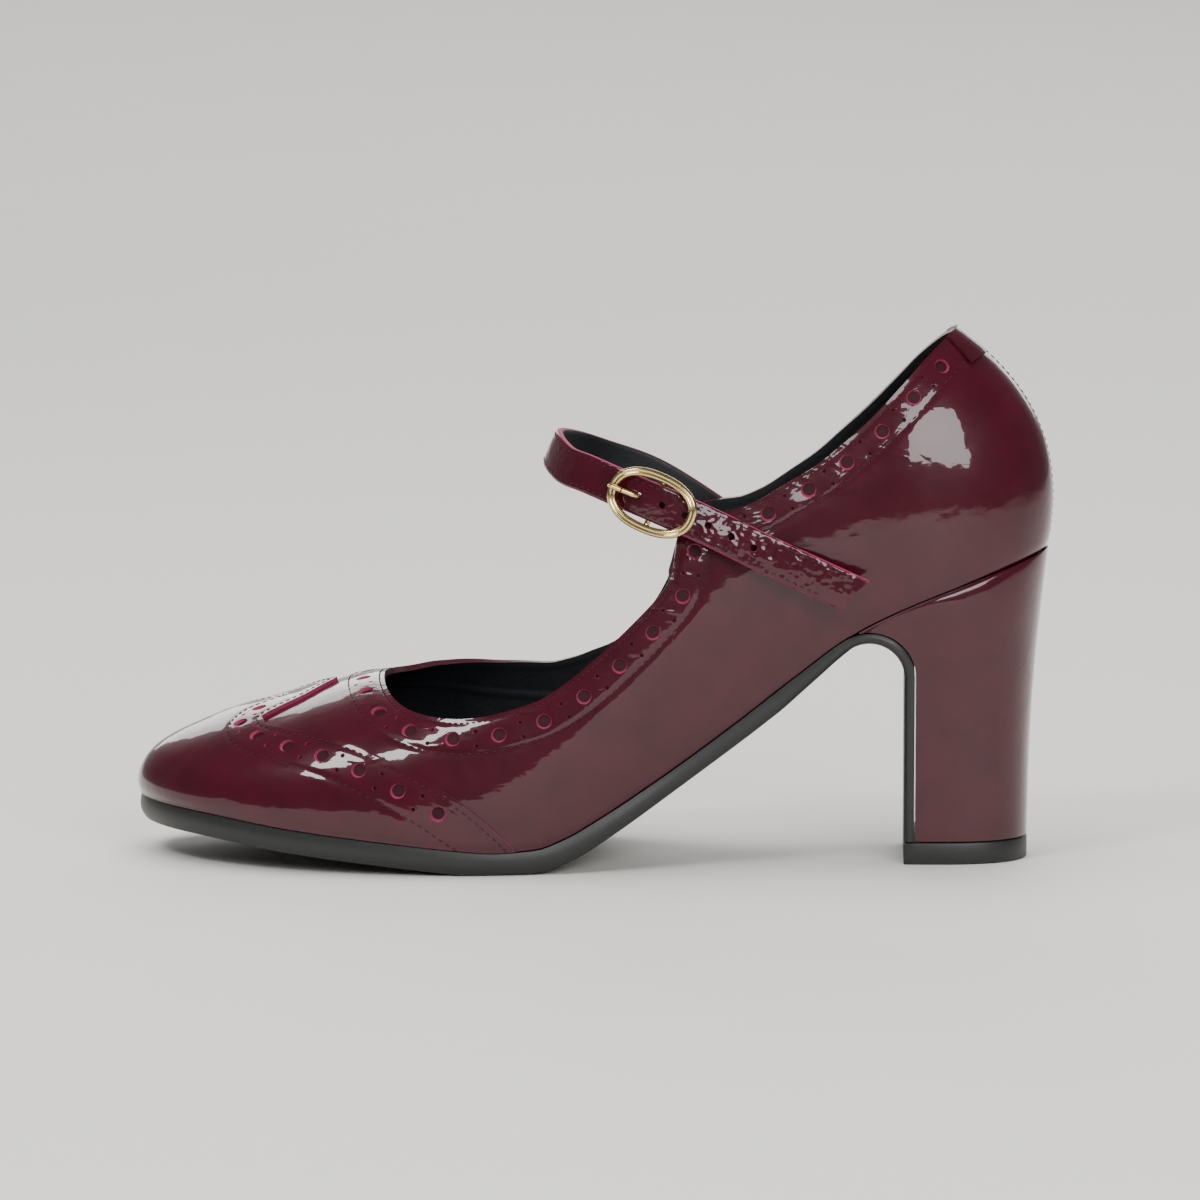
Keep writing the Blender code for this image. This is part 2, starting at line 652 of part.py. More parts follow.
def on_quarter(side, share, height, stand_off):
    """Point that stands off the quarter, and the leather's normal there.

    The height is a share of the section's height, from the featherline to the crown.
    """
    turn = 0.5
    for _ in range(6):
        station = station_at(side, turn, share)
        name = "outer_round" if side == OUTER else "inner_round"
        turn = math.asin(min(height, 1.0) ** (float(station_column(name, station)) / 2)) / (math.pi / 2)
    here = Vector([float(v) for v in foot_surface(side, station, turn)])
    ahead = Vector([float(v) for v in foot_surface(side, station + 0.02, turn)])
    above = Vector([float(v) for v in foot_surface(side, station, turn + 0.01)])
    normal = (ahead - here).cross(above - here).normalized()
    if normal.y * side < 0:
        normal.negate()
    return here + normal * stand_off, normal


def section_point(share, across, height):
    """Free point at shares of length, ball width and section height."""
    x = (share - 0.5) * SHOE_LENGTH
    low = float(feather_height(x))
    return Vector((x, across * BALL_WIDTH, low + height * (float(crown_height(x)) - low)))


def strap_route():
    """Middle line of the strap as dense points, each with the outward normal of its face."""
    half = STRAP_THICKNESS / 2
    points, normals = [], []
    for share, height in INNER_ROOT:
        point, normal = on_quarter(INNER, share, height, 2 * GAP + half)
        points.append(point)
        normals.append(normal)
    for row in FREE_LOOP:
        points.append(section_point(*row))
        normals.append(None)
    for share, height, stand_off in OUTER_RUN:
        point, normal = on_quarter(OUTER, share, height, stand_off)
        points.append(point)
        normals.append(normal)
    upright = Vector((0.40, 0, 0.917))
    for i, normal in enumerate(normals):
        if normal is None:
            run = (points[i + 1] - points[i - 1]).normalized()
            normals[i] = run.cross(upright).normalized()
    steps = 5
    line = [spline(points, i / steps) for i in range((len(points) - 1) * steps + 1)]
    faces = [spline(normals, i / steps).normalized() for i in range((len(points) - 1) * steps + 1)]
    return line, faces


def spline(points, at):
    """Point of the Catmull-Rom curve through points, at a row number and its fraction."""
    row = min(int(at), len(points) - 2)
    before = points[row - 1] if row else points[0] * 2 - points[1]
    after = points[row + 2] if row + 2 < len(points) else points[-1] * 2 - points[-2]
    a, b, c, d, t = before, points[row], points[row + 1], after, at - row
    return b + 0.5 * t * ((c - a) + t * ((2 * a - 5 * b + 4 * c - d) + t * (3 * (b - c) + d - a)))


def frame_on(line, faces, x_share, side):
    """Point, run, width direction and normal of the strap where it passes a share of length."""
    x = (x_share - 0.5) * SHOE_LENGTH
    for i in range(1, len(line)):
        if (line[i].y * side > 0 and (line[i - 1].x - x) * (line[i].x - x) <= 0
                and line[i].x != line[i - 1].x):
            t = (x - line[i - 1].x) / (line[i].x - line[i - 1].x)
            point = line[i - 1].lerp(line[i], t)
            run = (line[i] - line[i - 1]).normalized()
            normal = faces[i - 1].lerp(faces[i], t)
            normal = (normal - run * normal.dot(run)).normalized()
            return point, run, run.cross(normal).normalized(), normal, i - 1 + t


def ribbon(name, line, faces, width, thickness, collection, made_of, skew=0.0):
    """Flat strip of leather along a line, with its last end cut on a slant."""
    rings = []
    last = len(line) - 1
    for i, (point, face) in enumerate(zip(line, faces)):
        run = (line[min(i + 1, last)] - line[max(i - 1, 0)]).normalized()
        face = (face - run * face.dot(run)).normalized()
        wide = run.cross(face)
        if wide.z < 0:
            wide.negate()
        back = run * (skew / 2) if i == last else Vector()
        up, down = point + wide * width / 2 + back, point - wide * width / 2 - back
        out = face * thickness / 2
        rings.append([up + out, down + out, down - out, up - out])
    return loft(name, rings, collection, made_of, angle=50)


def tube(name, points, radius, collection, made_of, closed=False, sides=2):
    """Round wire along points, as a closed mesh."""
    curve = bpy.data.curves.new(name, "CURVE")
    curve.dimensions = "3D"
    curve.bevel_depth = radius
    curve.bevel_resolution = sides
    curve.use_fill_caps = True
    line = curve.splines.new("POLY")
    line.points.add(len(points) - 1)
    for slot, point in zip(line.points, points):
        slot.co = (*point, 1.0)
    line.use_cyclic_u = closed
    item = bpy.data.objects.new(name + "_curve", curve)
    collection.objects.link(item)
    bpy.context.view_layer.update()
    graph = bpy.context.evaluated_depsgraph_get()
    mesh = bpy.data.meshes.new_from_object(item.evaluated_get(graph))
    bpy.data.objects.remove(item, do_unlink=True)
    form = bmesh.new()
    form.from_mesh(mesh)
    bmesh.ops.remove_doubles(form, verts=form.verts, dist=1e-6)
    bmesh.ops.recalc_face_normals(form, faces=form.faces)
    form.to_mesh(mesh)
    form.free()
    mesh.materials.clear()
    shaded_smooth(mesh)
    return new_object(name, mesh, collection, made_of)


def boolean(item, other, operation):
    """Boolean of one piece with a cutter or with another piece."""
    step = item.modifiers.new(operation.lower(), "BOOLEAN")
    step.operation = operation
    step.solver = "EXACT"
    step.object = other


def hide_cutter(item):
    """Cutters aren't rendered and show as wires."""
    item.hide_render = True
    item.display_type = "WIRE"


def punch(name, places, radius, depth, cutters, made_of, segments=10):
    """One cutter of round punches, each at a point along a normal."""
    form = bmesh.new()
    for point, normal in places:
        turn = normal.to_track_quat("Z", "Y").to_matrix().to_4x4()
        turn.translation = point
        bmesh.ops.create_cone(form, cap_ends=True, segments=segments, radius1=radius, radius2=radius,
                              depth=depth, matrix=turn)
    mesh = bpy.data.meshes.new(name)
    form.to_mesh(mesh)
    form.free()
    item = new_object(name, mesh, cutters, made_of)
    hide_cutter(item)
    return item


def overlay(name, columns, rows, place, collection, made_of):
    """Patch of the upper's surface, raised off it by the clearance, with its own thickness."""
    form = surface_grid(columns, rows, place)
    bmesh.ops.recalc_face_normals(form, faces=form.faces)
    facing_out(form)
    form.normal_update()
    raised = [vertex.co + vertex.normal * (OVERLAY_SEAT + OVERLAY) for vertex in form.verts]
    for vertex, point in zip(form.verts, raised):
        vertex.co = point
    mesh = bpy.data.meshes.new(name)
    form.to_mesh(mesh)
    form.free()
    shaded_smooth(mesh, 60)
    return solidify(new_object(name, mesh, collection, made_of), OVERLAY)


def wingtip_rows():
    """Turns of the wingtip's rows, evenly spaced along its rear edge, with the edge's stations."""
    turns = np.linspace(0.0, 1.0, 401)
    edges = {}
    for side, column in ((OUTER, 1), (INNER, 2)):
        shares = smooth(WINGTIP_EDGE, column, turns)
        edges[side] = np.array([station_at(side, turn, share) for turn, share in zip(turns, shares)])
    x, y, z = foot_surface(OUTER, edges[OUTER], turns)
    steps = np.sqrt(np.diff(x) ** 2 + np.diff(y) ** 2 + np.diff(z) ** 2)
    length = np.concatenate(([0.0], np.cumsum(steps)))
    rows = np.interp(np.linspace(0, length[-1], WINGTIP_ROWS + 1), length, turns)
    return rows, {side: np.interp(rows, turns, edges[side]) for side in edges}


def build_wingtip(collection, cutters, leather):
    """W-shaped toe overlay with its large holes."""
    rows, limits = wingtip_rows()
    columns = [(OUTER, i / WINGTIP_COLUMNS) for i in range(WINGTIP_COLUMNS, 0, -1)]
    columns += [(INNER, i / WINGTIP_COLUMNS) for i in range(WINGTIP_COLUMNS + 1)]

    def place(column, row):
        side, share = columns[column]
        point = foot_surface(side, limits[side][row] * share, rows[row])
        return Vector([float(v) for v in point])

    item = overlay("wingtip", len(columns), len(rows), place, collection, leather)
    places = []
    for side in (OUTER, INNER):
        for turn, share in WINGTIP_HOLES:
            station = station_at(side, turn, share)
            here = Vector([float(v) for v in foot_surface(side, station, turn)])
            ahead = Vector([float(v) for v in foot_surface(side, station + 0.02, turn)])
            above = Vector([float(v) for v in foot_surface(side, station, turn + 0.01)])
            normal = (ahead - here).cross(above - here).normalized()
            if normal.z < 0:
                normal.negate()
            places.append((here, normal))
    boolean(item, punch("wingtip_punches", places, LARGE_HOLE / 2, 6 * OVERLAY, cutters, leather),
            "DIFFERENCE")
    return item


def build_back_tab(collection, leather):
    """Small overlay across the top of the back seam, on the upper's own grid lines."""
    low_row = SECTION_ROWS - 2
    stations = np.array([place for place in upper_stations() if place > LAST_STATION - 1.8])
    outer = [(OUTER, place) for place in stations]
    inner = [(INNER, place) for place in stations[-2::-1]]
    columns = outer + inner
    tops = {side: dict(zip(stations, topline_turn(side, stations))) for side in (OUTER, INNER)}

    def place(column, row):
        side, station = columns[column]
        turn = tops[side][station] * (low_row + row) / SECTION_ROWS
        return Vector([float(v) for v in foot_surface(side, station, turn)])

    return overlay("back_tab", len(columns), 3, place, collection, leather)


def build_strap(collection, cutters, leather, metal):
    """Instep strap with its holes, the buckle on it and the tab that holds the buckle's bar."""
    line, faces = strap_route()
    strap = ribbon("strap", line, faces, STRAP_WIDTH, STRAP_THICKNESS, collection, leather, END_SKEW)
    holes = []
    point, _, _, normal, at = frame_on(line, faces, PRONG_HOLE_AT, OUTER)
    lengths = [0.0]
    for a, b in zip(line, line[1:]):
        lengths.append(lengths[-1] + (b - a).length)
    start = float(np.interp(at, range(len(line)), lengths))
    for i in range(HOLE_COUNT):
        row = float(np.interp(start + i * HOLE_SPACING, lengths, range(len(line))))
        low = min(int(row), len(line) - 2)
        holes.append((line[low].lerp(line[low + 1], row - low),
                      faces[low].lerp(faces[low + 1], row - low).normalized()))
    boolean(strap, punch("strap_punches", holes, STRAP_HOLE / 2, 4 * STRAP_THICKNESS, cutters,
                         leather, segments=8), "DIFFERENCE")

    centre, _, wide, normal, at = frame_on(line, faces, BUCKLE_AT, OUTER)
    middle = float(np.interp(at, range(len(line)), lengths))

    def strap_point(distance):
        row = float(np.interp(middle + distance, lengths, range(len(line))))
        low = min(int(row), len(line) - 2)
        return line[low].lerp(line[low + 1], row - low)

    reach = (BUCKLE_LENGTH - BUCKLE_WIRE) / 2
    run = (strap_point(reach) - strap_point(-reach)).normalized()
    wide = (wide - run * wide.dot(run)).normalized()
    if wide.z < 0:
        wide.negate()
    normal = run.cross(wide)
    if normal.y > 0:
        normal.negate()
    side_reach = (BUCKLE_HEIGHT - BUCKLE_WIRE) / 2
    bend = 2 / 2.3
    ring = []
    for i in range(28):
        angle = 2 * math.pi * i / 28
        forward, up = math.cos(angle), math.sin(angle)
        ring.append((math.copysign(abs(forward) ** bend, forward) * reach,
                     math.copysign(abs(up) ** bend, up) * side_reach))
    over_strap = STRAP_WIDTH / 2 + BUCKLE_WIRE
    rises = [(strap_point(forward) - centre).dot(normal) for forward, up in ring if abs(up) < over_strap]
    lift = max(rises) + STRAP_THICKNESS / 2 + GAP + BUCKLE_WIRE / 2

    def at_buckle(forward, up, out):
        return centre + run * forward + wide * up + normal * out

    frame = tube("buckle_frame", [at_buckle(forward, up, lift) for forward, up in ring],
                 BUCKLE_WIRE / 2, collection, metal, closed=True)
    under = -(STRAP_THICKNESS / 2 + GAP + BAR_WIRE / 2)
    clear = STRAP_WIDTH / 2 + 3 * GAP + BAR_WIRE / 2
    bar = tube("buckle_bar", [at_buckle(0, side_reach, lift), at_buckle(0, clear, lift / 2),
                              at_buckle(0, clear, under), at_buckle(0, 0, under),
                              at_buckle(0, -clear, under), at_buckle(0, -clear, lift / 2),
                              at_buckle(0, -side_reach, lift)],
               BAR_WIRE / 2, cutters, metal)
    hide_cutter(bar)
    boolean(frame, bar, "UNION")

    prong_radius = PRONG_WIRE / 2
    hole_point, hole_normal = holes[0]
    hole = (hole_point - centre).dot(run)
    hole_rise = (hole_point - centre).dot(normal)
    over = STRAP_THICKNESS / 2 + GAP + prong_radius
    rest = lift + BUCKLE_WIRE / 2 + GAP + prong_radius
    prong = [
        at_buckle(-(BAR_WIRE / 2 + GAP + prong_radius), 0, under),
        hole_point - hole_normal * (over + prong_radius),
        hole_point + hole_normal * over,
        at_buckle(hole - 2.0 * PRONG_WIRE, 0, max(hole_rise + over + GAP, (lift + rest) / 2)),
        at_buckle(-reach, 0, rest),
        at_buckle(-reach - BUCKLE_WIRE / 2, 0, rest),
    ]
    tube("buckle_prong", prong, prong_radius, collection, metal)

    half = TAB_THICKNESS / 2
    stops = []
    for share, height, _ in OUTER_RUN[:1]:
        for back in (0.020, 0.0, -0.018):
            at_height = height - 3.0 * back
            stops.append(on_quarter(OUTER, share + back, at_height, GAP + half))
    bar_under = at_buckle(0, 0, under - BAR_WIRE / 2 - GAP - half)
    tab_points = [point for point, _ in stops] + [bar_under + run * 0.0035, bar_under - run * 0.0004]
    tab_faces = [face for _, face in stops] + [normal, normal]
    steps = 4
    count = (len(tab_points) - 1) * steps + 1
    ribbon("buckle_tab", [spline(tab_points, i / steps) for i in range(count)],
           [spline(tab_faces, i / steps).normalized() for i in range(count)],
           TAB_WIDTH, TAB_THICKNESS, collection, leather)


def centre_on_floor(collection, cutters):
    """Parent every piece and cutter to one empty that puts the shoe's box over the origin."""
    graph = bpy.context.evaluated_depsgraph_get()
    corners = [piece.matrix_world @ Vector(corner) for piece in collection.objects
               for corner in piece.evaluated_get(graph).bound_box]
    pieces = list(collection.objects) + list(cutters.objects)
    frame = bpy.data.objects.new("shoe_frame", None)
    collection.objects.link(frame)
    frame.location = (-(min(c.x for c in corners) + max(c.x for c in corners)) / 2,
                      -(min(c.y for c in corners) + max(c.y for c in corners)) / 2, 0)
    for piece in pieces:
        piece.parent = frame


def main():
    clear_scene()
    shoe = bpy.data.collections.new("mary_jane_pump")
    bpy.context.scene.collection.children.link(shoe)
    cutters = bpy.data.collections.new("cutters")
    bpy.context.scene.collection.children.link(cutters)
    patent = material("patent_leather", (0.060, 0.006, 0.014), 0.12)
    lining = material("lining_leather", (0.012, 0.012, 0.015), 0.55)
    rubber = material("sole_rubber", (0.014, 0.015, 0.014), 0.60)
    brass = material("buckle_metal", (0.70, 0.48, 0.19), 0.22, 1.0)
    build_upper(shoe, patent)
    build_outsole(shoe, rubber)
    build_insole(shoe, lining)
    build_heel(shoe, patent, rubber)
    build_wingtip(shoe, cutters, patent)
    build_back_tab(shoe, patent)
    build_strap(shoe, cutters, patent, brass)
    centre_on_floor(shoe, cutters)


main()
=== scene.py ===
"""Finish of the left mary jane pump: lacquered leather with its perforations, stitches and creases.

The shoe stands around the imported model. Everything on the last is worked out from the same surface
as the solids, sampled finely. Shoe coordinates have the toe at -X, the outer side at -Y and the
middle of the featherline's length at x = 0; a finished piece is moved from there into the frame.
"""

import logging
import math
from dataclasses import dataclass, field
from enum import Enum
from typing import Any, Callable, NamedTuple, Optional, Sequence

import bmesh
import bpy
import numpy as np
from mathutils import Matrix, Vector, noise
from mathutils.bvhtree import BVHTree
from mathutils.kdtree import KDTree


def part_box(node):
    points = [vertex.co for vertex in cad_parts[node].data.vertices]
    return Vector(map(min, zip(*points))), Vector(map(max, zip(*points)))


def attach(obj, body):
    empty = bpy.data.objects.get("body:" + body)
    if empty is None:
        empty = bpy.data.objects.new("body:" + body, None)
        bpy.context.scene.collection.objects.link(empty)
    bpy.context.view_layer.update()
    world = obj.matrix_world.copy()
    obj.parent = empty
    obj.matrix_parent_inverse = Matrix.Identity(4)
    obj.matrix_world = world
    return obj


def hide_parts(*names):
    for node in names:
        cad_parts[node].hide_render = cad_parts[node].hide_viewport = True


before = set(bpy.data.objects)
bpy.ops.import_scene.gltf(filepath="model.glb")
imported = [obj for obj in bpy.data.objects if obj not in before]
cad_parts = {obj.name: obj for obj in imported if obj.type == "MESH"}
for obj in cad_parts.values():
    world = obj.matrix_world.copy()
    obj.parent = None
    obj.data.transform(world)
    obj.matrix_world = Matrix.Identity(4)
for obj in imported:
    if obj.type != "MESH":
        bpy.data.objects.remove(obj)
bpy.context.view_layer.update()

LOG = logging.getLogger("pump")
MM = 0.001
CLEARANCE = 0.3 * MM       # gap that touching pieces keep
Line = list[Vector]


class Side(Enum):
    """Side of the shoe; the value is the sign of its y."""

    OUTER = -1
    INNER = 1


class Slot(Enum):
    """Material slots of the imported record."""

    PATENT = "patent_leather"
    LINING = "lining_leather"
    RUBBER = "sole_rubber"
    METAL = "buckle_metal"


class Station(NamedTuple):
    """One section of the last; x in shares of the length, y in shares of the ball width."""

    spine_x: float
    spine_y: float
    outer_x: float
    outer_y: float
    inner_x: float
    inner_y: float
    outer_round: float
    inner_round: float
    outer_bulge: float
    inner_bulge: float
    low_bulge: float


# Sections from the toe tip to the back seam
STATIONS = (
    Station(0.116, 0.050, 0.000, 0.050, 0.000, 0.050, 2.40, 2.40, 0.03, 0.03, 0.00),
    Station(0.120, 0.050, 0.012, -0.096, 0.009, 0.188, 2.40, 2.40, 0.03, 0.03, 0.00),
    Station(0.134, 0.050, 0.048, -0.244, 0.040, 0.300, 2.38, 2.42, 0.03, 0.03, 0.00),
    Station(0.164, 0.050, 0.107, -0.365, 0.098, 0.390, 2.35, 2.45, 0.03, 0.03, 0.00),
    Station(0.230, 0.050, 0.191, -0.459, 0.186, 0.455, 2.32, 2.50, 0.03, 0.03, 0.00),
    Station(0.309, 0.045, 0.287, -0.503, 0.287, 0.478, 2.30, 2.60, 0.04, 0.04, 0.00),
    Station(0.393, 0.030, 0.384, -0.494, 0.384, 0.442, 2.25, 2.50, 0.07, 0.10, 0.00),
    Station(0.490, 0.005, 0.485, -0.436, 0.485, 0.359, 2.15, 2.30, 0.15, 0.26, 0.00),
    Station(0.591, -0.035, 0.591, -0.359, 0.591, 0.279, 2.10, 2.15, 0.28, 0.42, 0.00),
    Station(0.683, -0.030, 0.692, -0.318, 0.692, 0.256, 2.05, 2.05, 0.25, 0.38, 0.01),
    Station(0.753, -0.015, 0.789, -0.303, 0.789, 0.272, 2.00, 2.00, 0.16, 0.22, 0.02),
    Station(0.793, -0.004, 0.876, -0.297, 0.876, 0.290, 2.00, 2.00, 0.09, 0.10, 0.03),
    Station(0.808, 0.000, 0.947, -0.224, 0.947, 0.224, 2.00, 2.00, 0.05, 0.05, 0.04),
    Station(0.813, 0.000, 0.986, -0.122, 0.986, 0.122, 2.00, 2.00, 0.05, 0.05, 0.04),
    Station(0.815, 0.000, 1.000, 0.000, 1.000, 0.000, 2.00, 2.00, 0.05, 0.05, 0.04),
)
LAST_STATION = len(STATIONS) - 1

# Featherline: share of the length, share of the toe spring, share of the seat's rise
FEATHER = (
    (0.000, 1.00, 0.000), (0.072, 0.89, 0.000), (0.173, 0.58, 0.000), (0.285, 0.28, 0.000),
    (0.338, 0.13, 0.000), (0.368, 0.05, 0.000), (0.398, 0.00, 0.000), (0.443, 0.00, 0.008),
    (0.473, 0.00, 0.040), (0.510, 0.00, 0.104), (0.583, 0.00, 0.252), (0.657, 0.00, 0.420),
    (0.730, 0.00, 0.598), (0.779, 0.00, 0.712), (0.847, 0.00, 0.822), (0.918, 0.00, 0.908),
    (1.000, 0.00, 1.000),
)

# Crown of the section: share of the length, share of the instep height, share of the collar rise
CROWN = (
    (0.000, 0.400, 0.000), (0.063, 0.490, 0.000), (0.107, 0.600, 0.000), (0.173, 0.765, 0.000),
    (0.211, 0.875, 0.000), (0.265, 0.990, 0.000), (0.327, 1.000, 0.110), (0.415, 1.000, 0.355),
    (0.503, 1.000, 0.575), (0.591, 1.000, 0.740), (0.679, 1.000, 0.795), (0.767, 1.000, 0.720),
    (0.833, 1.000, 0.685), (0.917, 1.000, 0.560), (1.000, 1.000, 0.440),
)

# Topline: share of the length, share of the section's height
TOPLINE = {
    Side.OUTER: (
        (0.2699, 1.000), (0.2765, 0.950), (0.2905, 0.866), (0.3140, 0.772), (0.3380, 0.715),
        (0.3644, 0.670), (0.3900, 0.641), (0.4430, 0.608), (0.4967, 0.592), (0.5300, 0.589),
        (0.5610, 0.594), (0.5790, 0.606), (0.5886, 0.630), (0.5925, 0.679), (0.5950, 0.735),
        (0.6018, 0.780), (0.6170, 0.765), (0.6435, 0.700), (0.6670, 0.658), (0.6950, 0.636),
        (0.7415, 0.632), (0.7730, 0.646), (0.8048, 0.680), (0.8360, 0.740), (0.8677, 0.823),
        (0.8920, 0.885), (0.9000, 0.900),
    ),
    Side.INNER: (
        (0.2699, 1.000), (0.2765, 0.990), (0.2905, 0.954), (0.3200, 0.900), (0.3460, 0.850),
        (0.3900, 0.740), (0.4255, 0.663), (0.4510, 0.610), (0.4905, 0.540), (0.5300, 0.490),
        (0.5560, 0.500), (0.5780, 0.545), (0.5900, 0.620), (0.5960, 0.692), (0.6060, 0.735),
        (0.6200, 0.715), (0.6400, 0.675), (0.6670, 0.625), (0.6950, 0.605), (0.7415, 0.615),
        (0.7730, 0.640), (0.8048, 0.680), (0.8360, 0.740), (0.8677, 0.823), (0.8920, 0.885),
        (0.9000, 0.900),
    ),
}
THROAT = TOPLINE[Side.OUTER][0][0]
EAR = 0.5925

# Rear edge of the wingtip: turn round the section, share of the length outside and inside
WINGTIP_EDGE = (
    (0.000, 0.422, 0.400), (0.204, 0.333, 0.320), (0.366, 0.263, 0.256), (0.475, 0.211, 0.207),
    (0.584, 0.166, 0.165), (0.650, 0.146, 0.146), (0.720, 0.141, 0.141), (0.800, 0.157, 0.157),
    (0.900, 0.192, 0.192), (1.000, 0.218, 0.218),
)

# Large holes of the wingtip: turn round the section, share of the length
WINGTIP_HOLES = (
    (0.100, 0.338), (0.185, 0.295), (0.268, 0.252), (0.352, 0.211), (0.438, 0.172),
    (0.545, 0.137), (0.690, 0.116), (0.845, 0.134),
)

# Strap on the inner quarter: share of the length, share of the section's height
INNER_ROOT = ((0.681, 0.430), (0.652, 0.545), (0.620, 0.690))
# Strap over the instep: share of the length, share of the ball width, share of the height
FREE_LOOP = (
    (0.562, 0.330, 0.957), (0.509, 0.276, 1.223), (0.474, 0.180, 1.428), (0.456, 0.000, 1.541),
    (0.472, -0.180, 1.420), (0.497, -0.276, 1.287), (0.534, -0.343, 1.094), (0.5705, -0.385, 0.925),
)
# Free end over the outer quarter: share of the length, share of the height, stand-off in metres
OUTER_RUN = (
    (0.633, 0.670, 0.0033), (0.684, 0.486, 0.0038), (0.731, 0.334, 0.0052), (0.783, 0.165, 0.0072),
)


def smooth(rows: Sequence[Sequence[float]], column: int, at: Any) -> np.ndarray:
    """Monotone cubic through one column of a table.

    Args:
        rows: the table, whose first column is the key.
        column: which column to read.
        at: keys to read it at.

    Returns:
        The values at the keys.
    """
    keys = np.array([row[0] for row in rows])
    values = np.array([row[column] for row in rows])
    steps = np.diff(keys)
    slopes = np.diff(values) / steps
    ends = np.zeros(len(keys))
    same_way = slopes[:-1] * slopes[1:] > 0
    weight_a = 2 * steps[1:] + steps[:-1]
    weight_b = steps[1:] + 2 * steps[:-1]
    safe_a = np.where(same_way, slopes[:-1], 1.0)
    safe_b = np.where(same_way, slopes[1:], 1.0)
    inner = (weight_a + weight_b) / (weight_a / safe_a + weight_b / safe_b)
    ends[1:-1] = np.where(same_way, inner, 0.0)
    ends[0] = slopes[0]
    ends[-1] = slopes[-1]
    at = np.clip(np.asarray(at, dtype=float), keys[0], keys[-1])
    cell = np.clip(np.searchsorted(keys, at, side="right") - 1, 0, len(keys) - 2)
    t = (at - keys[cell]) / steps[cell]
    return (values[cell] * (1 + 2 * t) * (1 - t) ** 2 + ends[cell] * steps[cell] * t * (1 - t) ** 2
            + values[cell + 1] * t * t * (3 - 2 * t) - ends[cell + 1] * steps[cell] * t * t * (1 - t))


def through(values: Sequence[float], at: Any, before: float, after: float) -> np.ndarray:
    """Catmull-Rom curve through evenly spaced values.

    Args:
        values: the values.
        at: places to read, 0 at the first value.
        before: the value ahead of the first.
        after: the value behind the last.

    Returns:
        The curve at the places.
    """
    line = np.array([before, *values, after])
    at = np.asarray(at, dtype=float)
    cell = np.clip(np.floor(at).astype(int), 0, len(values) - 2)
    t = at - cell
    a, b, c, d = line[cell], line[cell + 1], line[cell + 2], line[cell + 3]
    return b + 0.5 * t * (c - a + t * (2 * a - 5 * b + 4 * c - d + t * (3 * (b - c) + d - a)))


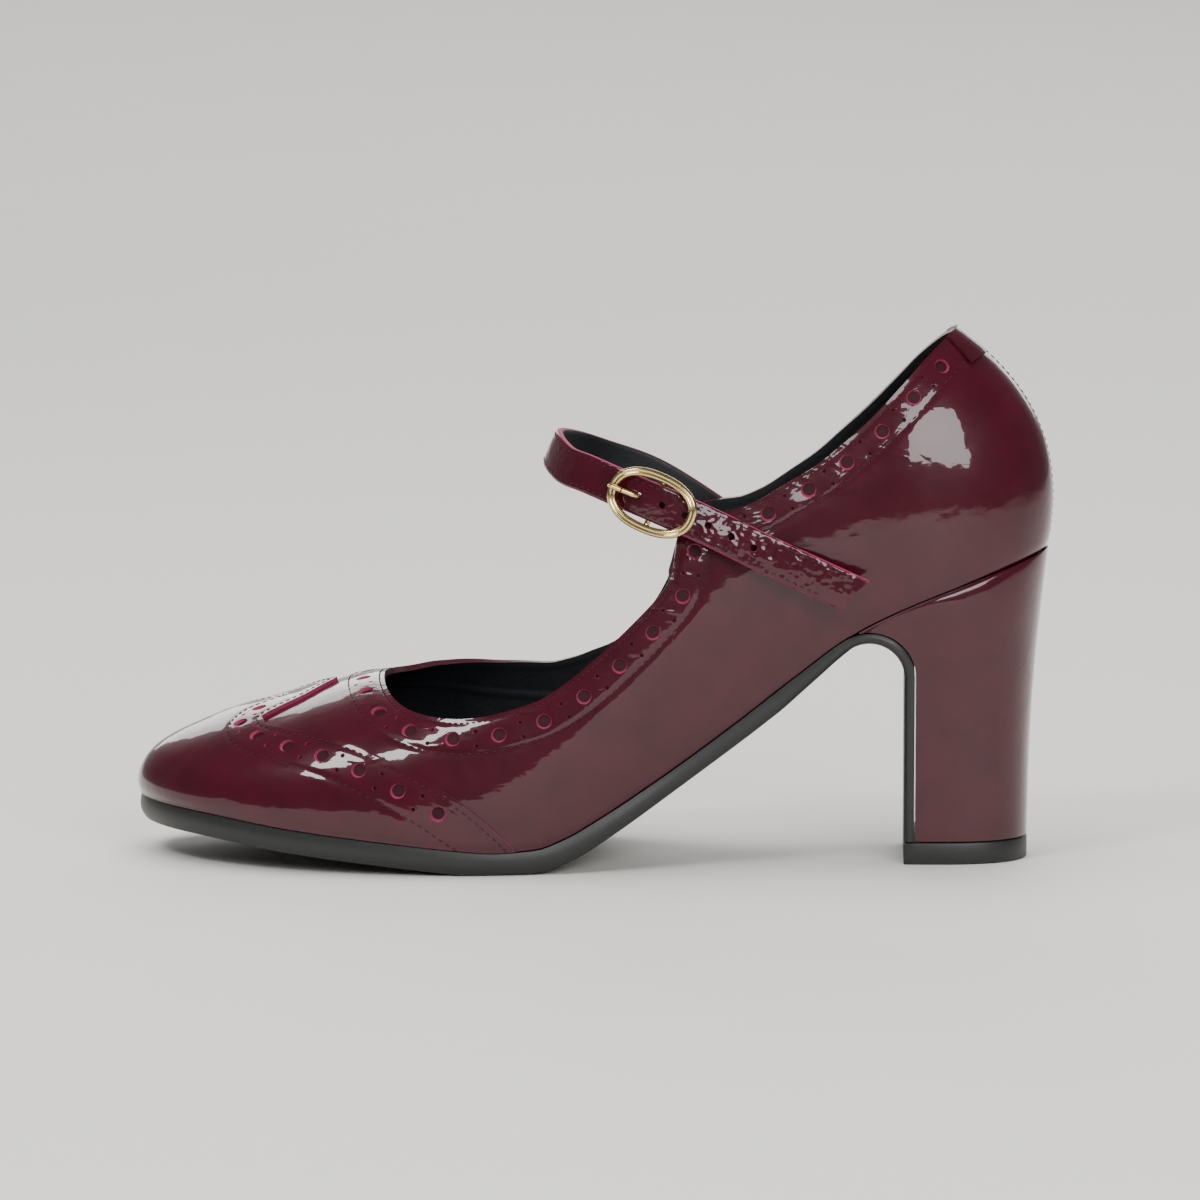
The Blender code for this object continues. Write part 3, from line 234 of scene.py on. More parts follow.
@dataclass(frozen=True)
class Last:
    """The last's sizes in metres, and the outside surface of the upper that they give."""

    length: float = 0.2275
    ball_width: float = 0.078
    seat_rise: float = 0.0726
    toe_spring: float = 0.0090
    instep_height: float = 0.0366
    collar_rise: float = 0.0546
    ball_sole: float = 0.0058

    def column(self, name: str, at: Any) -> np.ndarray:
        """One column of the station table at any station, level at both ends."""
        values = [getattr(row, name) for row in STATIONS]
        return through(values, at, values[1], values[-2])

    def share(self, x: Any) -> np.ndarray:
        """Share of the length at x."""
        return np.asarray(x) / self.length + 0.5

    def x_of(self, share: Any) -> Any:
        """Shoe x at a share of the length."""
        return (share - 0.5) * self.length

    def featherline(self, side: Side, station: Any) -> tuple[np.ndarray, np.ndarray]:
        """Plan position of the featherline at a station."""
        here, there = ("outer", "inner") if side is Side.OUTER else ("inner", "outer")
        parts = []
        for axis in ("_x", "_y"):
            values = [getattr(row, here + axis) for row in STATIONS]
            across = [getattr(row, there + axis) for row in STATIONS]
            parts.append(through(values, station, across[1], across[-2]))
        return self.x_of(parts[0]), parts[1] * self.ball_width

    def feather_height(self, x: Any) -> np.ndarray:
        """Height of the featherline above the floor at x."""
        share = self.share(x)
        return (self.ball_sole + smooth(FEATHER, 1, share) * self.toe_spring
                + smooth(FEATHER, 2, share) * self.seat_rise)

    def feather_slope(self, x: float) -> float:
        """Angle of the featherline to the floor at x."""
        step = 0.5 * MM
        rise = self.feather_height(x + step) - self.feather_height(x - step)
        return float(np.arctan2(rise, 2 * step))

    def crown_height(self, x: Any) -> np.ndarray:
        """Height of the form's ridge above the floor at x."""
        share = self.share(x)
        return (self.feather_height(x) + smooth(CROWN, 1, share) * self.instep_height
                + smooth(CROWN, 2, share) * self.collar_rise)

    def surface(self, side: Side, station: Any, turn: Any) -> np.ndarray:
        """Outside of the upper.

        Args:
            side: outer or inner side.
            station: place along the shoe, 0 at the toe tip.
            turn: place round the section, 0 at the featherline and 1 at the ridge.

        Returns:
            Positions, with x, y and z in the last axis.
        """
        station, turn = np.broadcast_arrays(np.asarray(station, float), np.asarray(turn, float))
        angle = np.clip(turn, 0.0, 1.0) * math.pi / 2
        name = side.name.lower()
        power = 2 / self.column(name + "_round", station)
        inward = (np.cos(angle).clip(0) ** power
                  + self.column(name + "_bulge", station) * np.sin(2 * angle)
                  + self.column("low_bulge", station) * np.sin(4 * angle))
        inward = np.where(turn >= 1.0, 0.0, inward)
        edge_x, edge_y = self.featherline(side, station)
        spine_x = self.x_of(self.column("spine_x", station))
        spine_y = self.column("spine_y", station) * self.ball_width
        low = self.feather_height(edge_x)
        return np.stack((spine_x + (edge_x - spine_x) * inward, spine_y + (edge_y - spine_y) * inward,
                         low + (self.crown_height(spine_x + (edge_x - spine_x) * inward) - low)
                         * np.sin(angle) ** power), axis=-1)

    def topline_turn(self, side: Side, stations: np.ndarray) -> np.ndarray:
        """Turn at which the topline cuts each section; 1 where the vamp is closed."""
        turns = np.linspace(0.05, 1.0, 900)
        result = []
        for place in stations:
            x = self.surface(side, place, turns)[:, 0]
            power = 2 / self.column(side.name.lower() + "_round", place)
            over = np.sin(turns * math.pi / 2) ** power - smooth(TOPLINE[side], 1, self.share(x))
            below = np.nonzero(over < 0)[0]
            closed = float(self.column("spine_x", place)) <= THROAT
            if closed or len(below) == 0 or below[-1] == len(turns) - 1:
                result.append(1.0)
                continue
            low = below[-1]
            part = over[low] / (over[low] - over[low + 1])
            result.append(turns[low] + part * (turns[low + 1] - turns[low]))
        return np.array(result)

    def station_of(self, share: float) -> float:
        """Station whose spine lies at a share of the length."""
        fine = np.linspace(0, LAST_STATION, 2801)
        return float(np.interp(share, self.column("spine_x", fine), fine))

    def edge_station(self, x: float) -> float:
        """Station whose outer featherline lies at x."""
        fine = np.linspace(0, LAST_STATION, 2801)
        return float(np.interp(x, self.featherline(Side.OUTER, fine)[0], fine))

    def station_at(self, side: Side, turn: float, share: float) -> float:
        """Station where the surface, at a turn, lies at a share of the length."""
        fine = np.linspace(0, LAST_STATION - 1, 1200)
        return float(np.interp(self.x_of(share), self.surface(side, fine, turn)[:, 0], fine))

    def point(self, side: Side, station: float, turn: float) -> Vector:
        """One point of the surface."""
        return Vector(self.surface(side, station, turn).tolist())

    def normal(self, side: Side, station: float, turn: float) -> Vector:
        """Normal of the surface, to either side of it."""
        here = self.point(side, station, turn)
        ahead = self.point(side, station + 0.02, turn)
        above = self.point(side, station, turn + 0.01)
        return (ahead - here).cross(above - here).normalized()

    def on_quarter(self, side: Side, share: float, height: float, stand_off: float
                   ) -> tuple[Vector, Vector]:
        """Point that stands off the quarter, and the leather's normal there."""
        turn = 0.5
        for _ in range(6):
            station = self.station_at(side, turn, share)
            power = float(self.column(side.name.lower() + "_round", station)) / 2
            turn = math.asin(min(height, 1.0) ** power) / (math.pi / 2)
        normal = self.normal(side, station, turn)
        if normal.y * side.value < 0:
            normal.negate()
        return self.point(side, station, turn) + normal * stand_off, normal

    def section_point(self, share: float, across: float, height: float) -> Vector:
        """Free point at shares of the length, the ball width and the section's height."""
        x = self.x_of(share)
        low = float(self.feather_height(x))
        return Vector((x, across * self.ball_width, low + height * (float(self.crown_height(x)) - low)))

    def outline_point(self, side: Side, station: float, inset: float) -> Vector:
        """Plan point of the featherline, drawn in by inset."""
        x, y = (float(v) for v in self.featherline(side, station))
        if station <= 0:
            return Vector((x + inset, y, 0))
        if station >= LAST_STATION:
            return Vector((x - inset, y, 0))
        step = 0.02
        x0, y0 = self.featherline(side, max(station - step, 0.0))
        x1, y1 = self.featherline(side, min(station + step, LAST_STATION))
        run = Vector((float(x1 - x0), float(y1 - y0), 0)).normalized()
        return Vector((x, y, 0)) - Vector((-run.y, run.x, 0)) * side.value * inset

    def stations(self, step: float) -> np.ndarray:
        """Stations a step apart, closer together at the throat and at the quarters' ears."""
        places = [0.0]
        throat, ear = self.station_of(THROAT), self.station_of(EAR)
        while places[-1] < LAST_STATION - step:
            here = places[-1]
            near_throat = math.exp(-(max(here - throat, 0.0) / 0.45) ** 2) if here > throat - step else 0
            near_ear = math.exp(-((here - ear) / 0.38) ** 2)
            places.append(here + step * (1 - 0.80 * max(near_throat, near_ear)))
        places[-1] = LAST_STATION
        nearest = int(np.argmin(np.abs(np.array(places) - throat)))
        places[nearest] = throat
        return np.array(places)


LAST = Last()


def shoe_offset() -> Vector:
    """Where the shoe's own origin lies in the frame, from the outsole's box."""
    low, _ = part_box("outsole")
    widest = float(np.min(LAST.featherline(Side.OUTER, np.linspace(0, LAST_STATION, 2801))[1]))
    return Vector((low.x + LAST.length / 2, low.y - widest, 0))


OFFSET = shoe_offset()


def spline(points: Sequence[Vector], at: float) -> Vector:
    """Point of the Catmull-Rom curve through points, at a row number and its fraction."""
    row = min(int(at), len(points) - 2)
    before = points[row - 1] if row else points[0] * 2 - points[1]
    after = points[row + 2] if row + 2 < len(points) else points[-1] * 2 - points[-2]
    a, b, c, d, t = before, points[row], points[row + 1], after, at - row
    return b + 0.5 * t * ((c - a) + t * ((2 * a - 5 * b + 4 * c - d) + t * (3 * (b - c) + d - a)))


def lengths_of(line: Sequence[Vector]) -> list[float]:
    """Length along a line at each of its points."""
    total = [0.0]
    for first, second in zip(line, line[1:]):
        total.append(total[-1] + (second - first).length)
    return total


def point_at(line: Sequence[Vector], lengths: Sequence[float], distance: float) -> Vector:
    """Point of a line at a distance along it."""
    row = float(np.interp(distance, lengths, range(len(line))))
    low = min(int(row), len(line) - 2)
    return line[low].lerp(line[low + 1], row - low)


def resample(line: Sequence[Vector], pitch: float, start: float = 0.0) -> Line:
    """Evenly spaced points along a line, from a distance behind its first point."""
    lengths = lengths_of(line)
    count = int((lengths[-1] - start) / pitch)
    return [point_at(line, lengths, start + i * pitch) for i in range(count + 1)]


def relaxed(line: Line, times: int) -> Line:
    """A line with its kinks averaged out, its ends kept."""
    for _ in range(times):
        inner = [(a + b * 2 + c) / 4 for a, b, c in zip(line, line[1:], line[2:])]
        line = [line[0], *inner, line[-1]]
    return line


def tree_of(points: Sequence[Vector]) -> KDTree:
    """Search tree of points."""
    tree = KDTree(len(points))
    for i, point in enumerate(points):
        tree.insert(point, i)
    tree.balance()
    return tree


def offset_line(skin: BVHTree, line: Line, distance: Callable[[Vector], float]) -> Line:
    """Line that runs beside another on a surface.

    Args:
        skin: the surface.
        line: the line to follow; the new one lies to its right, seen from outside.
        distance: how far away it runs at a point of the line.

    Returns:
        The new line, without the loops that sharp corners would give.
    """
    steps = 5
    found = []
    edge = tree_of(line)
    last = len(line) - 1
    for i, point in enumerate(line):
        run = (line[min(i + 1, last)] - line[max(i - 1, 0)]).normalized()
        reach = distance(point)
        place, normal, _, _ = skin.find_nearest(point)
        inward = normal.cross(run).normalized()
        for _ in range(steps):
            place, normal, _, _ = skin.find_nearest(place + inward * reach / steps)
            inward = (inward - normal * inward.dot(normal)).normalized()
        if edge.find(place)[2] > 0.93 * reach:
            found.append(place)
    return found


def grid_form(points: np.ndarray) -> bmesh.types.BMesh:
    """Grid of quads whose vertices lie at points[column, row], with doubled vertices merged."""
    columns, rows = points.shape[:2]
    form = bmesh.new()
    bmesh.ops.create_grid(form, x_segments=columns - 1, y_segments=rows - 1, size=1.0)
    for vertex in form.verts:
        column = round((vertex.co.x + 1) / 2 * (columns - 1))
        row = round((vertex.co.y + 1) / 2 * (rows - 1))
        vertex.co = points[column, row]
    bmesh.ops.remove_doubles(form, verts=form.verts, dist=1e-6)
    bmesh.ops.dissolve_degenerate(form, edges=form.edges, dist=1e-7)
    return form


def relax(form: bmesh.types.BMesh, times: int) -> None:
    """Even out the curvature inside a form's border."""
    inner = [vertex for vertex in form.verts if not vertex.is_boundary]
    for _ in range(times):
        bmesh.ops.smooth_vert(form, verts=inner, factor=0.5, use_axis_x=True, use_axis_y=True,
                              use_axis_z=True)


def face_out(form: bmesh.types.BMesh) -> None:
    """Turn an open form's faces away from its middle."""
    bmesh.ops.recalc_face_normals(form, faces=form.faces)
    centre = sum((v.co for v in form.verts), Vector()) / len(form.verts)
    lean = sum(f.normal.dot(f.calc_center_median() - centre) * f.calc_area() for f in form.faces)
    if lean < 0:
        bmesh.ops.reverse_faces(form, faces=form.faces)
    form.normal_update()


def two_sided(sheets: dict[Side, np.ndarray], times: int) -> bmesh.types.BMesh:
    """Open form from an outer and an inner sheet of points that share their first column."""
    form = grid_form(np.concatenate((sheets[Side.OUTER][::-1], sheets[Side.INNER][1:])))
    relax(form, times)
    face_out(form)
    return form


def capped(rings: Sequence[Line]) -> bmesh.types.BMesh:
    """Closed form from outlines that follow each other, capped at both ends."""
    form = grid_form(np.array([[point[:] for point in [*ring, ring[0]]] for ring in rings]))
    bmesh.ops.holes_fill(form, edges=[edge for edge in form.edges if edge.is_boundary])
    bmesh.ops.recalc_face_normals(form, faces=form.faces)
    return form


def mark_creased(form: bmesh.types.BMesh, strength: Callable[[Vector], float]) -> None:
    """Write how strongly the film is creased at each vertex."""
    layer = form.verts.layers.float.new("crinkle")
    for vertex in form.verts:
        vertex[layer] = strength(vertex.co)


def press(form: bmesh.types.BMesh, line: Sequence[Vector], width: float, depth: float) -> None:
    """Soft trough along a line of points, or a ridge where the depth is negative."""
    tree = tree_of(line)
    form.normal_update()
    moves = []
    for vertex in form.verts:
        away = tree.find(vertex.co)[2] / width
        if away < 3:
            moves.append((vertex, vertex.normal * depth * math.exp(-away * away)))
    for vertex, move in moves:
        vertex.co -= move


def sweep(path: Sequence[Vector], faces: Sequence[Vector], section: Sequence[tuple[float, float]],
          closed: bool = False, skew: float = 0.0, taper: Sequence[float] = ()) -> bmesh.types.BMesh:
    """Closed section carried along a path.

    Args:
        path: the middle line.
        faces: where the section's second axis points, at each point of the path.
        section: points of the section, across the path and out of it.
        closed: whether the path is a ring.
        skew: how far the last section is slanted along the path, over the section's width.
        taper: scale of the section at each point of the path; 1 where it isn't given.

    Returns:
        The swept form, capped where the path is open.
    """
    last = len(path) - 1
    width = max(a for a, _ in section) - min(a for a, _ in section)
    points = np.zeros((len(path) + closed, len(section) + 1, 3))
    for i, (point, face) in enumerate(zip(path, faces)):
        ahead = path[(i + 1) % len(path)] if closed else path[min(i + 1, last)]
        behind = path[i - 1] if closed or i else path[0]
        run = (ahead - behind).normalized()
        face = (face - run * face.dot(run)).normalized()
        wide = run.cross(face)
        if not closed and wide.z < 0:
            wide.negate()
        scale = taper[i] if len(taper) else 1.0
        for j in range(len(section) + 1):
            a, b = section[j % len(section)]
            slant = run * (skew * a / width if i == last else 0.0)
            points[i, j] = point + wide * a * scale + face * b * scale + slant
    if closed:
        points[-1] = points[0]
    form = grid_form(points)
    if not closed:
        bmesh.ops.holes_fill(form, edges=[edge for edge in form.edges if edge.is_boundary])
    bmesh.ops.recalc_face_normals(form, faces=form.faces)
    form.normal_update()
    return form


def round_section(radius: float, sides: int = 12) -> list[tuple[float, float]]:
    """Round section of a wire."""
    return [(radius * math.cos(2 * math.pi * i / sides), radius * math.sin(2 * math.pi * i / sides))
            for i in range(sides)]


def strip_section(width: float, thickness: float, crown: float, across: int = 22
                  ) -> list[tuple[float, float]]:
    """Section of a leather strip: a domed face, rounded edges and a flat back."""
    half, edge = width / 2, thickness / 2
    places = [-1 + 2 * i / across for i in range(across + 1)]
    inner = half - edge * 0.6
    top = [(-inner * t, edge + crown * (1 - t * t)) for t in places]
    back = [(inner * t, -edge) for t in places[::2]]
    turns = (60, 30, 0, -30, -60)
    left = [(-inner - edge * 0.6 * math.cos(math.radians(t)), edge * math.sin(math.radians(t)))
            for t in turns]
    right = [(-a, b) for a, b in left[::-1]]
    return top + left + back + right


def make_object(form: bmesh.types.BMesh, name: str, finishes: Sequence[bpy.types.Material],
                sharp: float = 40.0) -> bpy.types.Object:
    """Object in the frame from a form in shoe coordinates, which is used up."""
    bmesh.ops.translate(form, verts=form.verts, vec=OFFSET)
    mesh = bpy.data.meshes.new(name)
    form.to_mesh(mesh)
    form.free()
    shade(mesh, sharp)
    for finish in finishes:
        mesh.materials.append(finish)
    item = bpy.data.objects.new(name, mesh)
    bpy.context.scene.collection.objects.link(item)
    return item


def shade(mesh: bpy.types.Mesh, sharp: float) -> None:
    """Smooth shading that keeps edges sharper than an angle in degrees."""
    mesh.shade_smooth()
    mesh.set_sharp_from_angle(angle=math.radians(sharp))


def add_wall(item: bpy.types.Object, thickness: float, inner: int, rim: int) -> None:
    """Wall on the inner side of an open skin, with the finishes of its back and its edge."""
    wall = item.modifiers.new("wall", "SOLIDIFY")
    wall.thickness = thickness
    wall.offset = -1.0
    wall.use_even_offset = False
    wall.material_offset = inner
    wall.material_offset_rim = rim


def apply_modifiers(item: bpy.types.Object, sharp: float = 40.0) -> None:
    """Keep the evaluated mesh and drop the modifiers."""
    graph = bpy.context.evaluated_depsgraph_get()
    mesh = bpy.data.meshes.new_from_object(item.evaluated_get(graph), depsgraph=graph)
    old = item.data
    item.modifiers.clear()
    item.data = mesh
    mesh.name = item.name
    bpy.data.meshes.remove(old)
    shade(mesh, sharp)


FLOOR_SHARE = 0.81         # of a hole's radius, at its floor
FLOOR_SHIFT = 0.20         # of a hole's radius, up and towards the heel


class Punch(NamedTuple):
    """One round hole: where its middle lies on the leather, which way it faces, its radius."""

    place: Vector
    normal: Vector
    radius: float


def cut_holes(item: bpy.types.Object, punches: Sequence[Punch], depth: float,
              finishes: Sequence[bpy.types.Material]) -> None:
    """Cut round holes into a closed piece.

    Args:
        item: the piece.
        punches: the holes, in shoe coordinates.
        depth: how deep they go.
        finishes: of the holes' walls and of their floors.
    """
    form = bmesh.new()
    for punch in punches:
        segments = 20 if punch.radius > 1.5 * MM else 10
        turn = punch.normal.to_track_quat("Z", "Y").to_matrix().to_4x4()
        turn.translation = punch.place
        made = bmesh.ops.create_cone(form, cap_ends=True, segments=segments,
                                     radius1=punch.radius * FLOOR_SHARE, radius2=punch.radius
                                     * (2 - FLOOR_SHARE), depth=2 * depth, matrix=turn)
        up = Vector((0.3, 0, 0.95))
        lean = (up - punch.normal * up.dot(punch.normal)).normalized() * punch.radius * FLOOR_SHIFT
        for vertex in made["verts"]:
            if (vertex.co - punch.place).dot(punch.normal) < 0:
                vertex.co += lean
        for face in {face for vertex in made["verts"] for face in vertex.link_faces}:
            face.material_index = 1 if len(face.verts) == segments else 0
    cutter = make_object(form, item.name + "_punches", finishes)
    step = item.modifiers.new("holes", "BOOLEAN")
    step.operation = "DIFFERENCE"
    step.solver = "EXACT"
    step.material_mode = "TRANSFER"
    step.object = cutter
    apply_modifiers(item)
    bpy.data.objects.remove(cutter, do_unlink=True)


def punches_on(skin: BVHTree, places: Sequence[Vector], radius: float) -> list[Punch]:
    """Punches square to the leather."""
    return [Punch(point, normal, radius) for point, normal in zip(*on_skin(skin, places))]


def settle(item: bpy.types.Object, slot: Slot, *nodes: str) -> bpy.types.Object:
    """Ride a finished piece on the shoe and hide the imported solids that it stands for."""
    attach(item, "root")
    if nodes:
        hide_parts(*nodes)
    LOG.info("%s: %d faces", item.name, len(item.data.polygons))
    return item


def to_linear(colour: str) -> tuple[float, float, float, float]:
    """Linear colour of an sRGB hex value."""
    parts = [int(colour[i:i + 2], 16) / 255 for i in (1, 3, 5)]
    low = [part / 12.92 if part <= 0.04045 else ((part + 0.055) / 1.055) ** 2.4 for part in parts]
    return (*low, 1.0)


def add_node(tree: bpy.types.NodeTree, kind: str, values: Optional[dict] = None,
             links: Optional[dict] = None, **settings: Any) -> bpy.types.Node:
    """One node with its settings, its socket values and the sockets that feed it."""
    node = tree.nodes.new(kind)
    for name, value in settings.items():
        setattr(node, name, value)
    for socket, value in (values or {}).items():
        node.inputs[socket].default_value = value
    for socket, source in (links or {}).items():
        tree.links.new(source, node.inputs[socket])
    return node


def start_material(name: str, colour: str, roughness: float, **sockets: Any
                   ) -> tuple[bpy.types.Material, bpy.types.NodeTree, bpy.types.Node]:
    """Principled material with its constants on the shader's own sockets."""
    made = bpy.data.materials.new(name)
    made.use_nodes = True
    shader = made.node_tree.nodes["Principled BSDF"]
    shader.inputs["Base Color"].default_value = to_linear(colour)
    shader.inputs["Roughness"].default_value = roughness
    for socket, value in sockets.items():
        shader.inputs[socket.replace("_", " ")].default_value = value
    made.diffuse_color = to_linear(colour)
    return made, made.node_tree, shader


@dataclass(frozen=True)
class PatentLeather:
    """Calf leather under a thick clear lacquer: deep colour, hard gloss, film that crinkles."""

    name: str = "patent_leather_lacquered"
    dark: str = "#310410"
    light: str = "#480b1d"
    waviness: float = 9.0 * MM      # slow unevenness of the hide under the film
    crinkle: float = 2.4 * MM       # spacing of the creases where the film is bent
    grain: float = 0.55 * MM        # fine pull marks, drawn at twice their real size so they show
    everywhere: float = 0.10        # how much of the crinkle shows away from the bent places

    def build(self) -> bpy.types.Material:
        """The material; the mesh's crinkle attribute says where the film is creased."""
        made, tree, shader = start_material(self.name, self.dark, 0.30, Coat_Weight=1.0,
                                            Coat_Roughness=0.04, Coat_IOR=1.45,
                                            Specular_IOR_Level=0.12)
        place = add_node(tree, "ShaderNodeTexCoord").outputs["Object"]
        bent = add_node(tree, "ShaderNodeAttribute", attribute_name="crinkle").outputs["Fac"]
        wave = add_node(tree, "ShaderNodeTexNoise", {"Scale": 1 / self.waviness, "Detail": 2.0},
                        {"Vector": place})
        stretched = add_node(tree, "ShaderNodeMapping", {"Scale": (0.45, 1.0, 1.0),
                                                         "Rotation": (0.0, 0.7, 0.0)},
                             {"Vector": place})
        fold = add_node(tree, "ShaderNodeTexNoise", {"Scale": 1 / self.crinkle, "Detail": 3.0,
                                                     "Roughness": 0.55, "Distortion": 0.6},
                        {"Vector": stretched.outputs[0]}, noise_type="RIDGED_MULTIFRACTAL")
        grain = add_node(tree, "ShaderNodeTexNoise", {"Scale": 1 / self.grain, "Detail": 1.0},
                         {"Vector": stretched.outputs[0]})
        amount = add_node(tree, "ShaderNodeMath", {1: self.everywhere}, {0: bent}, operation="MAXIMUM")
        creased = add_node(tree, "ShaderNodeMath", {}, {0: fold.outputs[0], 1: amount.outputs[0]},
                           operation="MULTIPLY")
        slow = add_node(tree, "ShaderNodeMath", {1: 0.55}, {0: wave.outputs[0]}, operation="MULTIPLY")
        height = add_node(tree, "ShaderNodeMath", {1: 0.40}, {0: creased.outputs[0],
                                                              2: slow.outputs[0]},
                          operation="MULTIPLY_ADD")
        with_grain = add_node(tree, "ShaderNodeMath", {1: 0.010}, {0: grain.outputs[0],
                                                                   2: height.outputs[0]},
                              operation="MULTIPLY_ADD")
        bump = add_node(tree, "ShaderNodeBump", {"Strength": 1.0, "Distance": 0.35 * MM},
                        {"Height": with_grain.outputs[0]})
        tone = add_node(tree, "ShaderNodeMix", {}, {"Factor": wave.outputs[0]}, data_type="RGBA")
        set_mix(tone, self.dark, self.light)
        tree.links.new(tone.outputs[2], shader.inputs["Base Color"])
        tree.links.new(bump.outputs[0], shader.inputs["Normal"])
        tree.links.new(bump.outputs[0], shader.inputs["Coat Normal"])
        return made


def set_mix(node: bpy.types.Node, first: str, second: str) -> None:
    """Colours of a Mix node in its colour mode, whose sockets share names with other modes."""
    node.inputs[6].default_value = to_linear(first)
    node.inputs[7].default_value = to_linear(second)


@dataclass(frozen=True)
class Mottled:
    """A plain finish with small unevenness: raw edges, lining, rubber, thread or metal."""

    name: str
    dark: str
    light: str
    roughness: float
    scale: float                    # size of the unevenness in metres
    relief: float                   # its depth in metres
    sockets: dict = field(default_factory=dict)

    def build(self) -> bpy.types.Material:
        """The material, with colour, gloss and relief from one noise."""
        made, tree, shader = start_material(self.name, self.dark, self.roughness, **self.sockets)
        place = add_node(tree, "ShaderNodeTexCoord").outputs["Object"]
        spots = add_node(tree, "ShaderNodeTexNoise", {"Scale": 1 / self.scale, "Detail": 4.0},
                         {"Vector": place})
        tone = add_node(tree, "ShaderNodeMix", {}, {"Factor": spots.outputs[0]}, data_type="RGBA")
        set_mix(tone, self.dark, self.light)
        gloss = add_node(tree, "ShaderNodeMapRange", {"To Min": self.roughness * 0.8,
                                                      "To Max": min(self.roughness * 1.2, 1.0)},
                         {"Value": spots.outputs[0]})
        bump = add_node(tree, "ShaderNodeBump", {"Strength": 1.0, "Distance": self.relief},
                        {"Height": spots.outputs[0]})
        tree.links.new(tone.outputs[2], shader.inputs["Base Color"])
        tree.links.new(gloss.outputs[0], shader.inputs["Roughness"])
        tree.links.new(bump.outputs[0], shader.inputs["Normal"])
        return made


@dataclass
class Finishes:
    """Every finish of the shoe."""

    patent: bpy.types.Material = field(default_factory=lambda: PatentLeather().build())
    # cut leather, dyed through: matt and lighter than the lacquered face
    raw_edge: bpy.types.Material = field(default_factory=lambda: Mottled(
        "leather_raw_edge_dyed", "#7c2443", "#9d3c5e", 0.60, 0.6 * MM, 0.05 * MM,
        {"Specular IOR Level": 0.2}).build())
    # the leather seen at the bottom of a hole: painted darker than the cut leather, as painted shade,
    # for it lies half in shade
    hole_floor: bpy.types.Material = field(default_factory=lambda: Mottled(
        "painted_shade_hole_bottom", "#22060e", "#3a101c", 0.60, 0.8 * MM, 0.05 * MM,
        {"Specular IOR Level": 0.2}).build())
    # painted edge of the topline
    edge_paint: bpy.types.Material = field(default_factory=lambda: Mottled(
        "edge_paint_brushed", "#2a0c14", "#4a1a28", 0.40, 1.2 * MM, 0.06 * MM).build())
    # pigskin lining: black with a cold sheen and fine pores
    lining: bpy.types.Material = field(default_factory=lambda: Mottled(
        "lining_leather_dyed", "#0d0e11", "#1a1c21", 0.52, 0.7 * MM, 0.06 * MM).build())
    # moulded rubber with a fine matt texture
    rubber: bpy.types.Material = field(default_factory=lambda: Mottled(
        "rubber_moulded_matt", "#191b1a", "#232524", 0.42, 0.9 * MM, 0.02 * MM).build())
    # bonded polyester thread, slightly shiny
    thread: bpy.types.Material = field(default_factory=lambda: Mottled(
        "polyester_thread_bonded", "#2a0d14", "#47202a", 0.55, 0.3 * MM, 0.03 * MM,
        {"Specular IOR Level": 0.25}).build())
    # zinc casting plated in pale gold and polished
    gold: bpy.types.Material = field(default_factory=lambda: Mottled(
        "zinc_plated_pale_gold", "#d9bd7c", "#e6cf98", 0.17, 3.0 * MM, 0.01 * MM,
        {"Metallic": 1.0}).build())


class Zone(NamedTuple):
    """A place where the film is creased: side, share of the length, share of the section's height,
    its radius in metres and how strongly it is creased."""

    side: Side
    share: float
    height: float
    radius: float
    strength: float


class Crease(NamedTuple):
    """A soft trough between places given as shares of the length and of the section's height."""

    side: Side
    start: tuple[float, float]
    end: tuple[float, float]
    width: float
    depth: float


CREASE_ZONES = (
    Zone(Side.OUTER, 0.40, 0.42, 16 * MM, 0.45),
    Zone(Side.OUTER, 0.47, 0.30, 14 * MM, 0.35),
    Zone(Side.OUTER, 0.80, 0.62, 14 * MM, 0.50),
    Zone(Side.OUTER, 0.86, 0.60, 12 * MM, 0.45),
    Zone(Side.INNER, 0.40, 0.42, 18 * MM, 0.45),
    Zone(Side.INNER, 0.55, 0.25, 16 * MM, 0.35),
    Zone(Side.INNER, 0.83, 0.60, 14 * MM, 0.45),
)

# Main creases: across the flex line at the ball, under the collar band and on the counter
CREASES = (
    Crease(Side.OUTER, (0.365, 0.50), (0.405, 0.20), 1.8 * MM, 0.14 * MM),
    Crease(Side.OUTER, (0.385, 0.48), (0.425, 0.22), 1.6 * MM, 0.12 * MM),
    Crease(Side.OUTER, (0.410, 0.47), (0.440, 0.26), 1.7 * MM, 0.12 * MM),
    Crease(Side.OUTER, (0.435, 0.44), (0.462, 0.22), 1.6 * MM, 0.10 * MM),
    Crease(Side.OUTER, (0.730, 0.58), (0.775, 0.47), 1.6 * MM, 0.10 * MM),
    Crease(Side.OUTER, (0.755, 0.60), (0.800, 0.49), 1.5 * MM, 0.10 * MM),
    Crease(Side.OUTER, (0.775, 0.62), (0.815, 0.52), 1.5 * MM, 0.10 * MM),
    Crease(Side.INNER, (0.370, 0.52), (0.410, 0.22), 1.9 * MM, 0.14 * MM),
    Crease(Side.INNER, (0.400, 0.50), (0.440, 0.24), 1.7 * MM, 0.12 * MM),
    Crease(Side.INNER, (0.430, 0.46), (0.470, 0.24), 1.7 * MM, 0.12 * MM),
    Crease(Side.INNER, (0.760, 0.58), (0.805, 0.48), 1.6 * MM, 0.10 * MM),
)


class StitchRow(NamedTuple):
    """A finished row of stitches: its points on the leather, with their normals."""

    points: Line
    normals: Line
    pitch: float


def on_skin(skin: BVHTree, points: Sequence[Vector]) -> tuple[Line, Line]:
    """Nearest points of a surface, and its normals there."""
    found = [skin.find_nearest(point) for point in points]
    return [item[0] for item in found], [item[1] for item in found]


